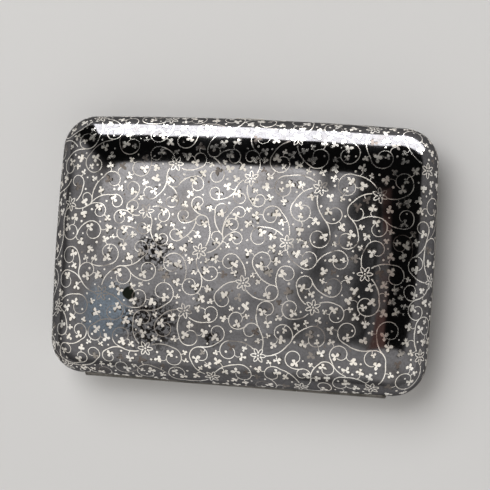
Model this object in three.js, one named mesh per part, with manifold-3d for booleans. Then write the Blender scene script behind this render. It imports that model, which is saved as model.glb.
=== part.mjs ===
// A silver cigarette case with niello covers, closed and lying flat on its back cover.
//
// Two pressed silver covers meet at a seam halfway up. A tube hinge runs along one long side.
// A sprung hook behind the other long side holds the covers shut until its push piece is pressed.
// Each half holds one row of cigarettes under an elastic band.
//
// Millimetres. X runs along the long sides, Y from the hinge side to the catch side, Z up.
// The origin is the middle of the flat back panel, on the surface that the case lies on.

import * as THREE from 'three';
import { mergeVertices } from 'three/addons/utils/BufferGeometryUtils.js';
import Module from 'manifold-3d';

const wasm = await Module();
wasm.setup();

// Overall size of the closed case
const LENGTH = 84;
const WIDTH = 58;
const THICKNESS = 17;

// Plan outline of the covers
const CORNER_RADIUS = 6.8;
const PANEL_CORNER_RADIUS = 3.5;
const BOW_SIDE = 0.75;
const BOW_CATCH = 0.95;
const BOW_HINGE = 0.5;

// Section of the covers
const MARGIN = 11.5;
const WALL = 0.8;
const SEAM_GAP = 0.12;

// Locating strip inside the seam
const BEZEL_WALL = 0.5;
const BEZEL_BELOW = 2.6;
const BEZEL_ABOVE = 1.7;
const BEZEL_END = 6.5;
const BEZEL_CLEARANCE = 0.2;

// Tube hinge
const KNUCKLES = 7;
const KNUCKLE_RADIUS = 1.1;
const KNUCKLE_BORE = 0.55;
const KNUCKLE_GAP = 0.1;
const HINGE_END = 9;
const HINGE_INSET = 0.8;
const HINGE_GROOVE_GAP = 0.2;
const PIN_RADIUS = 0.45;
const PLUG_THICKNESS = 0.4;
const PLUG_SHOULDER = 0.16;
const PLUG_DOME_RADIUS = 0.77;
const PLUG_DOME_RISE = 0.34;
const OPENING_ANGLE = 110;
const OPENING_SPARE = 2;
const BEARER_DEPTH = 3.4;
const BEARER_HEIGHT = 2.6;

// Push piece in the rim of the back cover
const PUSH_WIDTH = 6.4;
const PUSH_HEIGHT = 1.7;
const PUSH_PROUD = 0.2;
const PUSH_TRAVEL = 0.65;
const PUSH_STOP_GAP = 0.05;
const PUSH_BELOW_SEAM = 0.25;
const PUSH_SLOT_GAP = 0.15;
const PUSH_ROUNDING = 0.6;
const PUSH_BEVEL = 0.12;
const SHANK_WIDTH = 2.2;
const SHANK_HEIGHT = 1;
const SHANK_DROP = 1.3;
const SHANK_GAP = 0.2;
const SHANK_END = 0.3;
const COLLAR_OVERLAP = 0.7;
const COLLAR_OVERHANG = 0.12;
const COLLAR_THICKNESS = 0.5;
const COLLAR_HOLE_GAP = 0.08;

// Spring strip with its hook
const SPRING_THICKNESS = 0.35;
const SPRING_HEIGHT = 2.2;
const SPRING_BELOW_SEAM = 0.5;
const SPRING_LEFT = 13;
const SPRING_RIGHT = 4.5;
const SPRING_GAP = 0.15;
const HOOK_WIDTH = 3.6;
const HOOK_RELEASE = 0.1;
const HOOK_UNDERSIDE = 0.85;
const HOOK_TIP = 0.15;
const HOOK_TOP = 1.6;
const BLOCK_LENGTH = 3.8;
const BLOCK_HEIGHT = 2;
const RIVET_RADIUS = 0.4;
const RIVET_HEAD_RADIUS = 0.65;
const RIVET_HEAD_HEIGHT = 0.35;
const RIVET_HEAD_EDGE = 0.1;
const RIVET_HEAD_CROWN = 0.4;
const RIVET_PITCH = 1.9;
const RIVET_CLEARANCE = 0.08;

// Keeper on the front cover
const KEEPER_WIDTH = 4.8;
const KEEPER_DEPTH = 0.9;
const KEEPER_BOTTOM = 0.2;
const KEEPER_HEIGHT = 0.5;
const KEEPER_NOTCH_GAP = 0.8;
const KEEPER_NOTCH_FLOOR = 0.1;

// Elastic bands and the wire loops that hold them
const BAND_WIDTH = 6;
const BAND_THICKNESS = 0.6;
const BAND_END = 10;
const LOOP_WIRE_RADIUS = 0.35;
const LOOP_GAP = 0.3;
const LOOP_RISE = 0.25;

// Thin gap left between soldered or riveted pieces
const SEAT_GAP = 0.05;
const WALL_SEAT_GAP = 0.25;

// Facets of the curved forms
const LONG_SIDE_STEPS = 8;
const SHORT_SIDE_STEPS = 6;
const CORNER_STEPS = 9;
const OUTER_RINGS = 9;
const INNER_RINGS = 7;
const STRIP_RINGS = 9;
const CAVITY_RINGS = 41;
const TUBE_SIDES = 20;
const GROOVE_SIDES = 32;
const WIRE_SIDES = 12;
const LATHE_STEPS = 16;

// What follows from the sizes above
const HALF = THICKNESS / 2;
const RIM = SEAM_GAP / 2;
const CAVITY_HALF = HALF - WALL;
const BACK = -1;
const FRONT = 1;
const HINGE_Y = -(WIDTH / 2 - HINGE_INSET);
const HINGE_LENGTH = LENGTH - 2 * HINGE_END;
const BAND_REACH = WIDTH / 2 - BAND_END;
const CATCH_Y = WIDTH / 2;
const BEYOND = 2;
const GROOVE_RADIUS = KNUCKLE_RADIUS + HINGE_GROOVE_GAP;
const RELIEF_ANGLE = THREE.MathUtils.degToRad((OPENING_ANGLE + OPENING_SPARE) / 2);

// Colours
const NIELLO = { color: 0x3a3c45, roughness: 0.25, metalness: 0.9 };
const SILVER = { color: 0xd9d2c4, roughness: 0.28, metalness: 1 };
const GILT = { color: 0xd8b069, roughness: 0.3, metalness: 1 };
const STEEL = { color: 0x8d9196, roughness: 0.35, metalness: 1 };
const ELASTIC = { color: 0xb59a68, roughness: 0.85, metalness: 0 };

// Solids and meshes

function toSolid(geometry) {
  const bare = geometry.clone();
  bare.deleteAttribute('normal');
  bare.deleteAttribute('uv');
  const merged = mergeVertices(bare, 1e-5);
  const vertProperties = new Float32Array(merged.getAttribute('position').array);
  const triVerts = new Uint32Array(merged.getIndex().array);
  return new wasm.Manifold(new wasm.Mesh({ numProp: 3, vertProperties, triVerts }));
}

function toGeometry(solid) {
  const { vertProperties, triVerts } = solid.getMesh();
  const geometry = new THREE.BufferGeometry();
  geometry.setAttribute('position', new THREE.BufferAttribute(vertProperties, 3));
  geometry.setIndex(new THREE.BufferAttribute(triVerts, 1));
  geometry.computeVertexNormals();
  return geometry;
}

const model = new THREE.Group();

function addPiece(name, solid, finish) {
  const mesh = new THREE.Mesh(toGeometry(solid), new THREE.MeshStandardMaterial(finish));
  mesh.name = name;
  model.add(mesh);
}

// A level is a height above the seam for the front half and below it for the back half.

function levelZ(half, level) {
  return HALF + half * level;
}

function box(x0, x1, y0, y1, z0, z1) {
  const geometry = new THREE.BoxGeometry(x1 - x0, y1 - y0, Math.abs(z1 - z0));
  geometry.translate((x0 + x1) / 2, (y0 + y1) / 2, (z0 + z1) / 2);
  return toSolid(geometry);
}

// Depths are measured inwards from the middle of the catch side.

function catchBox(halfWidth, depth0, depth1, z0, z1) {
  return box(-halfWidth, halfWidth, CATCH_Y - depth1, CATCH_Y - depth0, z0, z1);
}

function rodAlongX(radius, x0, x1, y, z, sides) {
  const geometry = new THREE.CylinderGeometry(radius, radius, x1 - x0, sides);
  geometry.rotateZ(Math.PI / 2);
  geometry.translate((x0 + x1) / 2, y, z);
  return toSolid(geometry);
}

function rodAlongZ(radius, z0, z1, x, y, sides) {
  const geometry = new THREE.CylinderGeometry(radius, radius, Math.abs(z1 - z0), sides);
  geometry.rotateX(Math.PI / 2);
  geometry.translate(x, y, (z0 + z1) / 2);
  return toSolid(geometry);
}

// A profile drawn in Y and Z, drawn out along X from x0 to x1.

function prism(shape, x0, x1, curveSegments) {
  const geometry = new THREE.ExtrudeGeometry(shape, {
    depth: x1 - x0,
    bevelEnabled: false,
    curveSegments,
  });
  const axes = new THREE.Matrix4().makeBasis(
    new THREE.Vector3(0, 1, 0),
    new THREE.Vector3(0, 0, 1),
    new THREE.Vector3(1, 0, 0),
  );
  geometry.applyMatrix4(axes);
  geometry.translate(x0, 0, 0);
  return toSolid(geometry);
}

function polygon(points) {
  return new THREE.Shape(points.map(([y, z]) => new THREE.Vector2(y, z)));
}

// One ring of the covers' plan: a rounded rectangle whose sides bow outwards.

function cornerRadius(inset) {
  const share = Math.min(inset / MARGIN, 1);
  return CORNER_RADIUS + (PANEL_CORNER_RADIUS - CORNER_RADIUS) * share;
}

function roundedRectangle(halfX, yLow, yHigh, radius) {
  const points = [];
  const corners = [
    [halfX - radius, yHigh - radius, 0],
    [-(halfX - radius), yHigh - radius, 1],
    [-(halfX - radius), yLow + radius, 2],
    [halfX - radius, yLow + radius, 3],
  ];
  corners.forEach(([x, y, turn], index) => {
    for (let step = 0; step < CORNER_STEPS; step += 1) {
      const angle = ((turn + step / CORNER_STEPS) * Math.PI) / 2;
      points.push(new THREE.Vector2(x + radius * Math.cos(angle), y + radius * Math.sin(angle)));
    }
    const end = ((turn + 1) * Math.PI) / 2;
    const next = corners[(index + 1) % corners.length];
    const from = new THREE.Vector2(x + radius * Math.cos(end), y + radius * Math.sin(end));
    const to = new THREE.Vector2(next[0] + radius * Math.cos(end), next[1] + radius * Math.sin(end));
    const steps = turn % 2 === 0 ? LONG_SIDE_STEPS : SHORT_SIDE_STEPS;
    for (let step = 0; step < steps; step += 1) {
      points.push(from.clone().lerp(to, step / steps));
    }
  });
  return points;
}

function planRing(inset, z) {
  const halfX = LENGTH / 2 - BOW_SIDE - inset;
  const high = WIDTH / 2 - BOW_CATCH - inset;
  const low = WIDTH / 2 - BOW_HINGE - inset;
  return roundedRectangle(halfX, -low, high, cornerRadius(inset)).map(({ x, y }) => {
    const reach = y > 0 ? high : low;
    const bow = y > 0 ? BOW_CATCH : BOW_HINGE;
    const bowedX = x + BOW_SIDE * (x / halfX) * (1 - (y / reach) ** 2);
    const bowedY = y + bow * (y / reach) * (1 - (x / halfX) ** 2);
    return new THREE.Vector3(bowedX, bowedY, z);
  });
}

// A closed body through a stack of rings, with a fan over the first and the last.

function loft(rings) {
  const count = rings[0].length;
  const positions = [];
  const indices = [];
  rings.forEach((ring) => ring.forEach((point) => positions.push(point.x, point.y, point.z)));
  for (let level = 0; level + 1 < rings.length; level += 1) {
    for (let i = 0; i < count; i += 1) {
      const next = (i + 1) % count;
      const a = level * count + i;
      const b = level * count + next;
      indices.push(a, b, b + count, a, b + count, a + count);
    }
  }
  [0, rings.length - 1].forEach((level) => {
    const ring = rings[level];
    const middle = ring.reduce((sum, point) => sum.add(point), new THREE.Vector3()).divideScalar(count);
    const hub = positions.length / 3;
    positions.push(middle.x, middle.y, middle.z);
    for (let i = 0; i < count; i += 1) {
      const a = level * count + i;
      const b = level * count + ((i + 1) % count);
      if (level === 0) {
        indices.push(hub, b, a);
      } else {
        indices.push(hub, a, b);
      }
    }
  });
  const geometry = new THREE.BufferGeometry();
  geometry.setAttribute('position', new THREE.Float32BufferAttribute(positions, 3));
  geometry.setIndex(indices);
  return toSolid(geometry);
}

// Section of the margin: a quarter ellipse from the upright seam to the flat panel.

function outerInset(level) {
  return MARGIN * (1 - Math.sqrt(Math.max(0, 1 - (level / HALF) ** 2)));
}

function innerInset(level) {
  return WALL + MARGIN * (1 - Math.sqrt(Math.max(0, 1 - (level / CAVITY_HALF) ** 2)));
}

function marginLevels(top, count) {
  const start = Math.asin(RIM / top);
  return Array.from({ length: count }, (_, i) => {
    const share = i / (count - 1);
    return share === 1 ? top : top * Math.sin(start + (Math.PI / 2 - start) * share);
  });
}

function coverShell(half) {
  const outside = marginLevels(HALF, OUTER_RINGS).map((level) =>
    planRing(outerInset(level), levelZ(half, level)),
  );
  const inside = marginLevels(CAVITY_HALF, INNER_RINGS).map((level) =>
    planRing(innerInset(level), levelZ(half, level)),
  );
  if (half === BACK) {
    return loft([...outside.reverse(), ...inside]);
  }
  return loft([...inside.reverse(), ...outside]);
}

// The space inside the covers between two signed levels, drawn in from the walls by extra.

function cavitySlice(extra, levelLow, levelHigh, rings) {
  const slices = Array.from({ length: rings }, (_, i) => {
    const level = levelLow + ((levelHigh - levelLow) * i) / (rings - 1);
    return planRing(innerInset(Math.abs(level)) + extra, HALF + level);
  });
  return loft(slices);
}

// Hinge: tubes in a groove, with the covers eased away behind them so that they can open

function hingeGroove() {
  const reach = HINGE_LENGTH / 2 + PLUG_THICKNESS + HINGE_GROOVE_GAP;
  return rodAlongX(GROOVE_RADIUS, -reach, reach, HINGE_Y, HALF, GROOVE_SIDES);
}

function hingeRelief() {
  const run = HINGE_INSET + BEYOND;
  const rise = run * Math.tan(RELIEF_ANGLE);
  const shape = polygon([
    [HINGE_Y, HALF],
    [HINGE_Y - run, HALF + rise],
    [HINGE_Y - run, HALF - rise],
  ]);
  return prism(shape, -LENGTH / 2, LENGTH / 2, 1);
}

function knucklePitch() {
  return (HINGE_LENGTH + KNUCKLE_GAP) / KNUCKLES;
}

function knuckle(index) {
  const x0 = -HINGE_LENGTH / 2 + index * knucklePitch();
  const x1 = x0 + knucklePitch() - KNUCKLE_GAP;
  const tube = rodAlongX(KNUCKLE_RADIUS, x0, x1, HINGE_Y, HALF, TUBE_SIDES);
  const bore = rodAlongX(KNUCKLE_BORE, x0 - BEYOND, x1 + BEYOND, HINGE_Y, HALF, TUBE_SIDES);
  return tube.subtract(bore);
}

function jointBearer(half) {
  const near = levelZ(half, RIM);
  const far = levelZ(half, RIM + BEARER_HEIGHT);
  const wallY = -WIDTH / 2;
  const reach = HINGE_LENGTH / 2;
  const strip = box(-reach, reach, wallY, wallY + BEARER_DEPTH, near, far);
  const top = BEARER_HEIGHT + BEYOND;
  return strip
    .intersect(cavitySlice(WALL_SEAT_GAP, -top, top, STRIP_RINGS))
    .subtract(hingeGroove())
    .subtract(hingeRelief());
}

// A domed plug closes each end of the tube. The dome faces away from the middle.

function hingePlug(side) {
  const dome = [
    new THREE.Vector2(0, 0),
    new THREE.Vector2(KNUCKLE_RADIUS, 0),
    new THREE.Vector2(KNUCKLE_RADIUS, PLUG_SHOULDER),
    new THREE.Vector2(PLUG_DOME_RADIUS, PLUG_DOME_RISE),
    new THREE.Vector2(0, PLUG_THICKNESS),
  ];
  const geometry = new THREE.LatheGeometry(dome, TUBE_SIDES);
  geometry.rotateZ((-side * Math.PI) / 2);
  geometry.translate(side * (HINGE_LENGTH / 2 + SEAT_GAP), HINGE_Y, HALF);
  return toSolid(geometry);
}

// Depths of the catch, measured inwards from the middle of the catch side

function bezelInnerDepth(level) {
  return innerInset(level) + BEZEL_CLEARANCE + BEZEL_WALL;
}

const shankZ = HALF - SHANK_DROP;
const bezelOuterDepth = innerInset(0) + BEZEL_CLEARANCE;
const windowHalfHeight = SHANK_HEIGHT / 2 + SHANK_GAP;
const collarHalfHeight = windowHalfHeight + COLLAR_OVERHANG;
const collarDepth = bezelInnerDepth(SHANK_DROP + collarHalfHeight) + WALL_SEAT_GAP;
const shankEndDepth = collarDepth + COLLAR_THICKNESS + SHANK_END;
const springDepth = shankEndDepth + SPRING_GAP;
const keeperDepth = innerInset(KEEPER_BOTTOM + KEEPER_HEIGHT) + WALL_SEAT_GAP;
const hookTipDepth = keeperDepth + KEEPER_DEPTH - (PUSH_TRAVEL - HOOK_RELEASE);
const pushBackDepth = bezelOuterDepth - PUSH_TRAVEL - PUSH_STOP_GAP;
const slotBottomLevel = PUSH_BELOW_SEAM + PUSH_HEIGHT + PUSH_SLOT_GAP;
const slotDepth = innerInset(slotBottomLevel) + BEZEL_CLEARANCE / 2;

function locatingStrip() {
  const wide = cavitySlice(BEZEL_CLEARANCE, -BEZEL_BELOW, BEZEL_ABOVE, STRIP_RINGS);
  const inner = cavitySlice(
    BEZEL_CLEARANCE + BEZEL_WALL,
    -(BEZEL_BELOW + BEYOND),
    BEZEL_ABOVE + BEYOND,
    STRIP_RINGS,
  );
  const hingeSide = box(
    -LENGTH / 2,
    LENGTH / 2,
    -WIDTH / 2,
    -WIDTH / 2 + BEZEL_END,
    0,
    THICKNESS,
  );
  const keeperNotch = catchBox(
    KEEPER_WIDTH / 2 + KEEPER_NOTCH_GAP,
    0,
    springDepth,
    HALF - KEEPER_NOTCH_FLOOR,
    HALF + BEZEL_ABOVE + BEYOND,
  );
  const shankWindow = catchBox(
    SHANK_WIDTH / 2 + SHANK_GAP,
    0,
    springDepth,
    shankZ - windowHalfHeight,
    shankZ + windowHalfHeight,
  );
  return wide.subtract(inner).subtract(hingeSide).subtract(keeperNotch).subtract(shankWindow);
}

// The push piece: a rounded head in a slot of the rim, on a flat shank

function pushPiece() {
  const halfX = PUSH_WIDTH / 2 - PUSH_BEVEL;
  const halfZ = PUSH_HEIGHT / 2 - PUSH_BEVEL;
  const round = Math.min(PUSH_ROUNDING, halfZ - PUSH_BEVEL);
  const shape = new THREE.Shape();
  shape.moveTo(halfX, -halfZ + round);
  shape.absarc(halfX - round, halfZ - round, round, 0, Math.PI / 2, false);
  shape.absarc(-halfX + round, halfZ - round, round, Math.PI / 2, Math.PI, false);
  shape.absarc(-halfX + round, -halfZ + round, round, Math.PI, Math.PI * 1.5, false);
  shape.absarc(halfX - round, -halfZ + round, round, Math.PI * 1.5, Math.PI * 2, false);
  const head = new THREE.ExtrudeGeometry(shape, {
    depth: pushBackDepth + PUSH_PROUD - 2 * PUSH_BEVEL,
    bevelEnabled: true,
    bevelThickness: PUSH_BEVEL,
    bevelSize: PUSH_BEVEL,
    bevelSegments: 2,
    curveSegments: 5,
  });
  head.rotateX(Math.PI / 2);
  const headCentre = HALF - PUSH_BELOW_SEAM - PUSH_HEIGHT / 2;
  head.translate(0, CATCH_Y + PUSH_PROUD - PUSH_BEVEL, headCentre);
  const shank = catchBox(
    SHANK_WIDTH / 2,
    (pushBackDepth - PUSH_PROUD) / 2,
    shankEndDepth,
    shankZ - SHANK_HEIGHT / 2,
    shankZ + SHANK_HEIGHT / 2,
  );
  return toSolid(head).add(shank);
}

function pushSlot() {
  return catchBox(
    PUSH_WIDTH / 2 + PUSH_SLOT_GAP,
    -PUSH_PROUD - BEYOND,
    slotDepth,
    HALF - slotBottomLevel,
    HALF,
  );
}

function pushCollar() {
  const plate = catchBox(
    SHANK_WIDTH / 2 + COLLAR_OVERLAP,
    collarDepth,
    collarDepth + COLLAR_THICKNESS,
    shankZ - collarHalfHeight,
    shankZ + collarHalfHeight,
  );
  const hole = catchBox(
    SHANK_WIDTH / 2 + COLLAR_HOLE_GAP,
    collarDepth - BEYOND,
    collarDepth + COLLAR_THICKNESS + BEYOND,
    shankZ - SHANK_HEIGHT / 2 - COLLAR_HOLE_GAP,
    shankZ + SHANK_HEIGHT / 2 + COLLAR_HOLE_GAP,
  );
  return plate.subtract(hole);
}

// The spring strip is riveted at its left end and carries the hook in the middle.

const springFace = CATCH_Y - springDepth;
const springTop = HALF - SPRING_BELOW_SEAM;
const rivetZ = springTop - SPRING_HEIGHT / 2;
const blockMiddle = -SPRING_LEFT + BLOCK_LENGTH / 2;
const rivetPlaces = [blockMiddle - RIVET_PITCH / 2, blockMiddle + RIVET_PITCH / 2];
const blockBottomLevel = HALF - rivetZ + BLOCK_HEIGHT / 2;
const blockOuterDepth = bezelInnerDepth(blockBottomLevel) + WALL_SEAT_GAP;

function rodAlongY(radius, y0, y1, x, z) {
  const geometry = new THREE.CylinderGeometry(radius, radius, y1 - y0, LATHE_STEPS);
  geometry.translate(x, (y0 + y1) / 2, z);
  return toSolid(geometry);
}

function withRivetHoles(solid) {
  return rivetPlaces.reduce((rest, x) => {
    const hole = rodAlongY(
      RIVET_RADIUS + RIVET_CLEARANCE,
      springFace - SPRING_THICKNESS - BEYOND,
      CATCH_Y,
      x,
      rivetZ,
    );
    return rest.subtract(hole);
  }, solid);
}

function catchSpring() {
  const strip = box(
    -SPRING_LEFT,
    SPRING_RIGHT,
    springFace - SPRING_THICKNESS,
    springFace,
    springTop - SPRING_HEIGHT,
    springTop,
  );
  const tip = CATCH_Y - hookTipDepth;
  const hook = polygon([
    [springFace - SPRING_THICKNESS, springTop - SPRING_HEIGHT / 2],
    [springFace, springTop - SPRING_HEIGHT / 2],
    [springFace, HALF + HOOK_UNDERSIDE],
    [tip, HALF + HOOK_UNDERSIDE],
    [tip, HALF + HOOK_UNDERSIDE + HOOK_TIP],
    [springFace, HALF + HOOK_TOP],
    [springFace - SPRING_THICKNESS, HALF + HOOK_TOP],
  ]);
  return withRivetHoles(strip.add(prism(hook, -HOOK_WIDTH / 2, HOOK_WIDTH / 2, 1)));
}

function springBlock() {
  const block = box(
    -SPRING_LEFT,
    -SPRING_LEFT + BLOCK_LENGTH,
    springFace + SEAT_GAP,
    CATCH_Y - blockOuterDepth,
    rivetZ - BLOCK_HEIGHT / 2,
    rivetZ + BLOCK_HEIGHT / 2,
  );
  return withRivetHoles(block);
}

function springRivet(x) {
  const shaft = springDepth + SPRING_THICKNESS - blockOuterDepth;
  const profile = [
    new THREE.Vector2(0, -RIVET_HEAD_HEIGHT),
    new THREE.Vector2(RIVET_HEAD_CROWN, RIVET_HEAD_EDGE / 2 - RIVET_HEAD_HEIGHT),
    new THREE.Vector2(RIVET_HEAD_RADIUS, -RIVET_HEAD_EDGE),
    new THREE.Vector2(RIVET_HEAD_RADIUS, 0),
    new THREE.Vector2(RIVET_RADIUS, 0),
    new THREE.Vector2(RIVET_RADIUS, shaft),
    new THREE.Vector2(0, shaft),
  ];
  const geometry = new THREE.LatheGeometry(profile, LATHE_STEPS);
  geometry.translate(x, springFace - SPRING_THICKNESS - SEAT_GAP, rivetZ);
  return toSolid(geometry);
}

function keeperBar() {
  return catchBox(
    KEEPER_WIDTH / 2,
    keeperDepth,
    keeperDepth + KEEPER_DEPTH,
    HALF + KEEPER_BOTTOM,
    HALF + KEEPER_BOTTOM + KEEPER_HEIGHT,
  );
}

// Elastic bands. Each end turns round the bar of a wire loop that stands on the cover.

const bandHole = LOOP_WIRE_RADIUS + LOOP_GAP / 2;
const bandEnd = bandHole + BAND_THICKNESS;

function floorLevel(y) {
  const inset = WIDTH / 2 - Math.abs(y) - WALL;
  const share = Math.max(0, 1 - inset / MARGIN);
  return CAVITY_HALF * Math.sqrt(1 - share ** 2);
}

const bandLevel = floorLevel(BAND_REACH) - LOOP_RISE - bandEnd;

function elasticBand(half) {
  const z = levelZ(half, bandLevel);
  const shape = new THREE.Shape();
  const turn = Math.asin(BAND_THICKNESS / 2 / bandEnd);
  shape.absarc(BAND_REACH, z, bandEnd, -Math.PI + turn, Math.PI - turn, false);
  shape.absarc(-BAND_REACH, z, bandEnd, turn, 2 * Math.PI - turn, false);
  [BAND_REACH, -BAND_REACH].forEach((y) => {
    const hole = new THREE.Path();
    hole.absarc(y, z, bandHole, 0, 2 * Math.PI, true);
    shape.holes.push(hole);
  });
  return prism(shape, -BAND_WIDTH / 2, BAND_WIDTH / 2, 8);
}

function bandLoop(half, end) {
  const y = end * BAND_REACH;
  const legX = BAND_WIDTH / 2 + LOOP_GAP + LOOP_WIRE_RADIUS;
  const barZ = levelZ(half, bandLevel);
  const footZ = levelZ(half, CAVITY_HALF + BEYOND);
  const legs = [-legX, legX].map((x) => {
    const bend = new THREE.SphereGeometry(LOOP_WIRE_RADIUS, WIRE_SIDES, WIRE_SIDES / 2);
    bend.rotateX(Math.PI / 2);
    bend.translate(x, y, barZ);
    return rodAlongZ(LOOP_WIRE_RADIUS, barZ, footZ, x, y, WIRE_SIDES).add(toSolid(bend));
  });
  const bar = rodAlongX(LOOP_WIRE_RADIUS, -legX, legX, y, barZ, WIRE_SIDES);
  const reach = CAVITY_HALF - SEAT_GAP;
  const space = cavitySlice(SEAT_GAP, -reach, reach, CAVITY_RINGS);
  return legs[0].add(legs[1]).add(bar).intersect(space);
}

// The back half

addPiece(
  'back_cover',
  coverShell(BACK).subtract(hingeGroove()).subtract(hingeRelief()).subtract(pushSlot()),
  NIELLO,
);
addPiece('back_bezel', locatingStrip(), GILT);
addPiece('back_joint_bearer', jointBearer(BACK), SILVER);

// The front half

addPiece('front_cover', coverShell(FRONT).subtract(hingeGroove()).subtract(hingeRelief()), NIELLO);
addPiece('front_joint_bearer', jointBearer(FRONT), SILVER);
addPiece('keeper', keeperBar(), GILT);

// The hinge. Odd knuckles belong to the back half and even ones to the front.

for (let index = 0; index < KNUCKLES; index += 1) {
  const owner = index % 2 === 0 ? 'back' : 'front';
  addPiece(`${owner}_knuckle_${index + 1}`, knuckle(index), SILVER);
}
addPiece(
  'hinge_pin',
  rodAlongX(PIN_RADIUS, -HINGE_LENGTH / 2, HINGE_LENGTH / 2, HINGE_Y, HALF, LATHE_STEPS),
  STEEL,
);
addPiece('hinge_plug_left', hingePlug(-1), SILVER);
addPiece('hinge_plug_right', hingePlug(1), SILVER);

// The catch

addPiece('push_piece', pushPiece(), SILVER);
addPiece('push_piece_collar', pushCollar(), GILT);
addPiece('catch_spring', catchSpring(), STEEL);
addPiece('spring_block', springBlock(), GILT);
rivetPlaces.forEach((x, index) => addPiece(`spring_rivet_${index + 1}`, springRivet(x), STEEL));

// The bands

[BACK, FRONT].forEach((half) => {
  const name = half === BACK ? 'back' : 'front';
  addPiece(`${name}_band`, elasticBand(half), ELASTIC);
  addPiece(`${name}_band_loop_hinge`, bandLoop(half, -1), GILT);
  addPiece(`${name}_band_loop_catch`, bandLoop(half, 1), GILT);
});

export default model;
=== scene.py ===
# %% [markdown]
# # A niello cigarette case
# The object is a silver pocket case with two pillow-shaped covers, a tube hinge along one long side and a
# sprung catch behind the other. The ground of both covers is niello, a blue-black metal sulphide that is
# melted into cut-away silver and polished flush, so the silver pattern is what was left standing. The
# working model of the case is loaded first and stays as it is. Everything made here is its finish.

# %% Load the working model
import math
import bpy
import numpy as np
from mathutils import Matrix, Vector
from mathutils.bvhtree import BVHTree
from mathutils.interpolate import poly_3d_calc
from mathutils.kdtree import KDTree


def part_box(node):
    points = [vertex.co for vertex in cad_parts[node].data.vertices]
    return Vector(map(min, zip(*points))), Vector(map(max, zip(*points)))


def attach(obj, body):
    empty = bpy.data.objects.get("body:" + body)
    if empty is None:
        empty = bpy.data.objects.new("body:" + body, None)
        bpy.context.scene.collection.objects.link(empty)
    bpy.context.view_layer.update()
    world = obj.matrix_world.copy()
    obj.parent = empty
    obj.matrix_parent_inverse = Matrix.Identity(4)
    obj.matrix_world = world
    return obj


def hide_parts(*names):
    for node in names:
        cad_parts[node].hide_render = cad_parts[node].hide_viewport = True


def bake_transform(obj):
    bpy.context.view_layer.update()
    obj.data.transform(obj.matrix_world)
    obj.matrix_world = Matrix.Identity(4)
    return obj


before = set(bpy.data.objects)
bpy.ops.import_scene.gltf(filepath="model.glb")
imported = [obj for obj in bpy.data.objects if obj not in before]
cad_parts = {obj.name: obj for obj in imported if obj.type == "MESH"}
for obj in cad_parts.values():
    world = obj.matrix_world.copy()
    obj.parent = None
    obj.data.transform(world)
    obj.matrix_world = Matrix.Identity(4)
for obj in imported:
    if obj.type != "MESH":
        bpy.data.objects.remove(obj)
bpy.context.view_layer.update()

# %% [markdown]
# ## Sizes
# The overall sizes are read from the model. The few values of the covers' outline and section are the
# maker's drawing values, in millimetres, and are repeated here because a finer surface follows the same
# law. MM turns a drawing value into metres, which is what Blender works in.

# %% Drawing values
MM = 0.001
cover_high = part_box("front_cover")[1]
LENGTH = 2 * cover_high.x / MM
WIDTH = 2 * cover_high.y / MM
THICKNESS = cover_high.z / MM
CORNER_RADIUS = 6.8
PANEL_CORNER_RADIUS = 3.5
BOW_SIDE = 0.75
BOW_CATCH = 0.95
BOW_HINGE = 0.5
MARGIN = 11.5
WALL = 0.8
SEAM_GAP = 0.12
HALF = THICKNESS / 2
CAVITY_HALF = HALF - WALL
RIM = SEAM_GAP / 2
HINGE_Y = -28.2
GROOVE_RADIUS = 1.3
RELIEF_ANGLE = math.radians(56)
FRONT = 1
BACK = -1
print("case", round(LENGTH, 2), "by", round(WIDTH, 2), "by", round(THICKNESS, 2), "mm")

# %% [markdown]
# ## Camera
# The viewpoint was found by fitting the outline of the covers to the outline in the photograph. The lens
# is a long one at short distance, a little to the right of the case and almost square to its face. The
# camera comes first, so that each later step can be judged through it.

# %% Camera
CAMERA_PLACE = Vector((63.16, -5.39, 306.68)) * MM
CAMERA_YAW = math.radians(-11.81)
CAMERA_PITCH = math.radians(-1.31)
CAMERA_ROLL = math.radians(-3.58)
FOCAL_LENGTH = 102.86
SENSOR = 36

camera_data = bpy.data.cameras.new("camera")
camera_data.lens = FOCAL_LENGTH
camera_data.sensor_width = SENSOR
camera_data.clip_start = 0.01
camera_data.clip_end = 10
camera = bpy.data.objects.new("camera", camera_data)
bpy.context.scene.collection.objects.link(camera)
turn = (
    Matrix.Rotation(CAMERA_ROLL, 3, "Z")
    @ Matrix.Rotation(CAMERA_PITCH, 3, "X")
    @ Matrix.Rotation(CAMERA_YAW, 3, "Y")
)
camera.matrix_world = Matrix.Translation(CAMERA_PLACE) @ turn.transposed().to_4x4()
bpy.context.scene.camera = camera
print("camera", round(CAMERA_PLACE.length / MM), "mm from the origin")

# %% [markdown]
# ## Small helpers
# An operator acts on whatever is selected, so each step starts by selecting nothing and then one piece. A
# finished piece keeps its place in its mesh, with its object at the origin.

# %% Selecting, applying and placing
scene = bpy.context.scene
WELD = 0.0005
BEVEL_STEPS = 2


def select_nothing():
    bpy.ops.object.select_all(action="DESELECT")


def take(piece):
    select_nothing()
    piece.select_set(True)
    bpy.context.view_layer.objects.active = piece
    return piece


def apply_place(piece):
    take(piece)
    bpy.ops.object.transform_apply(location=True, rotation=True, scale=True)
    return piece


def apply_modifiers(piece):
    take(piece)
    for modifier in list(piece.modifiers):
        bpy.ops.object.modifier_apply(modifier=modifier.name)
    return piece


def weld(piece, distance=WELD, outwards=False):
    """Merges points that lie together, and turns the faces outwards where that is asked for."""
    take(piece)
    bpy.ops.object.mode_set(mode="EDIT")
    bpy.ops.mesh.select_all(action="SELECT")
    bpy.ops.mesh.remove_doubles(threshold=distance * MM)
    if outwards:
        bpy.ops.mesh.normals_make_consistent(inside=False)
    bpy.ops.object.mode_set(mode="OBJECT")
    return piece


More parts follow.
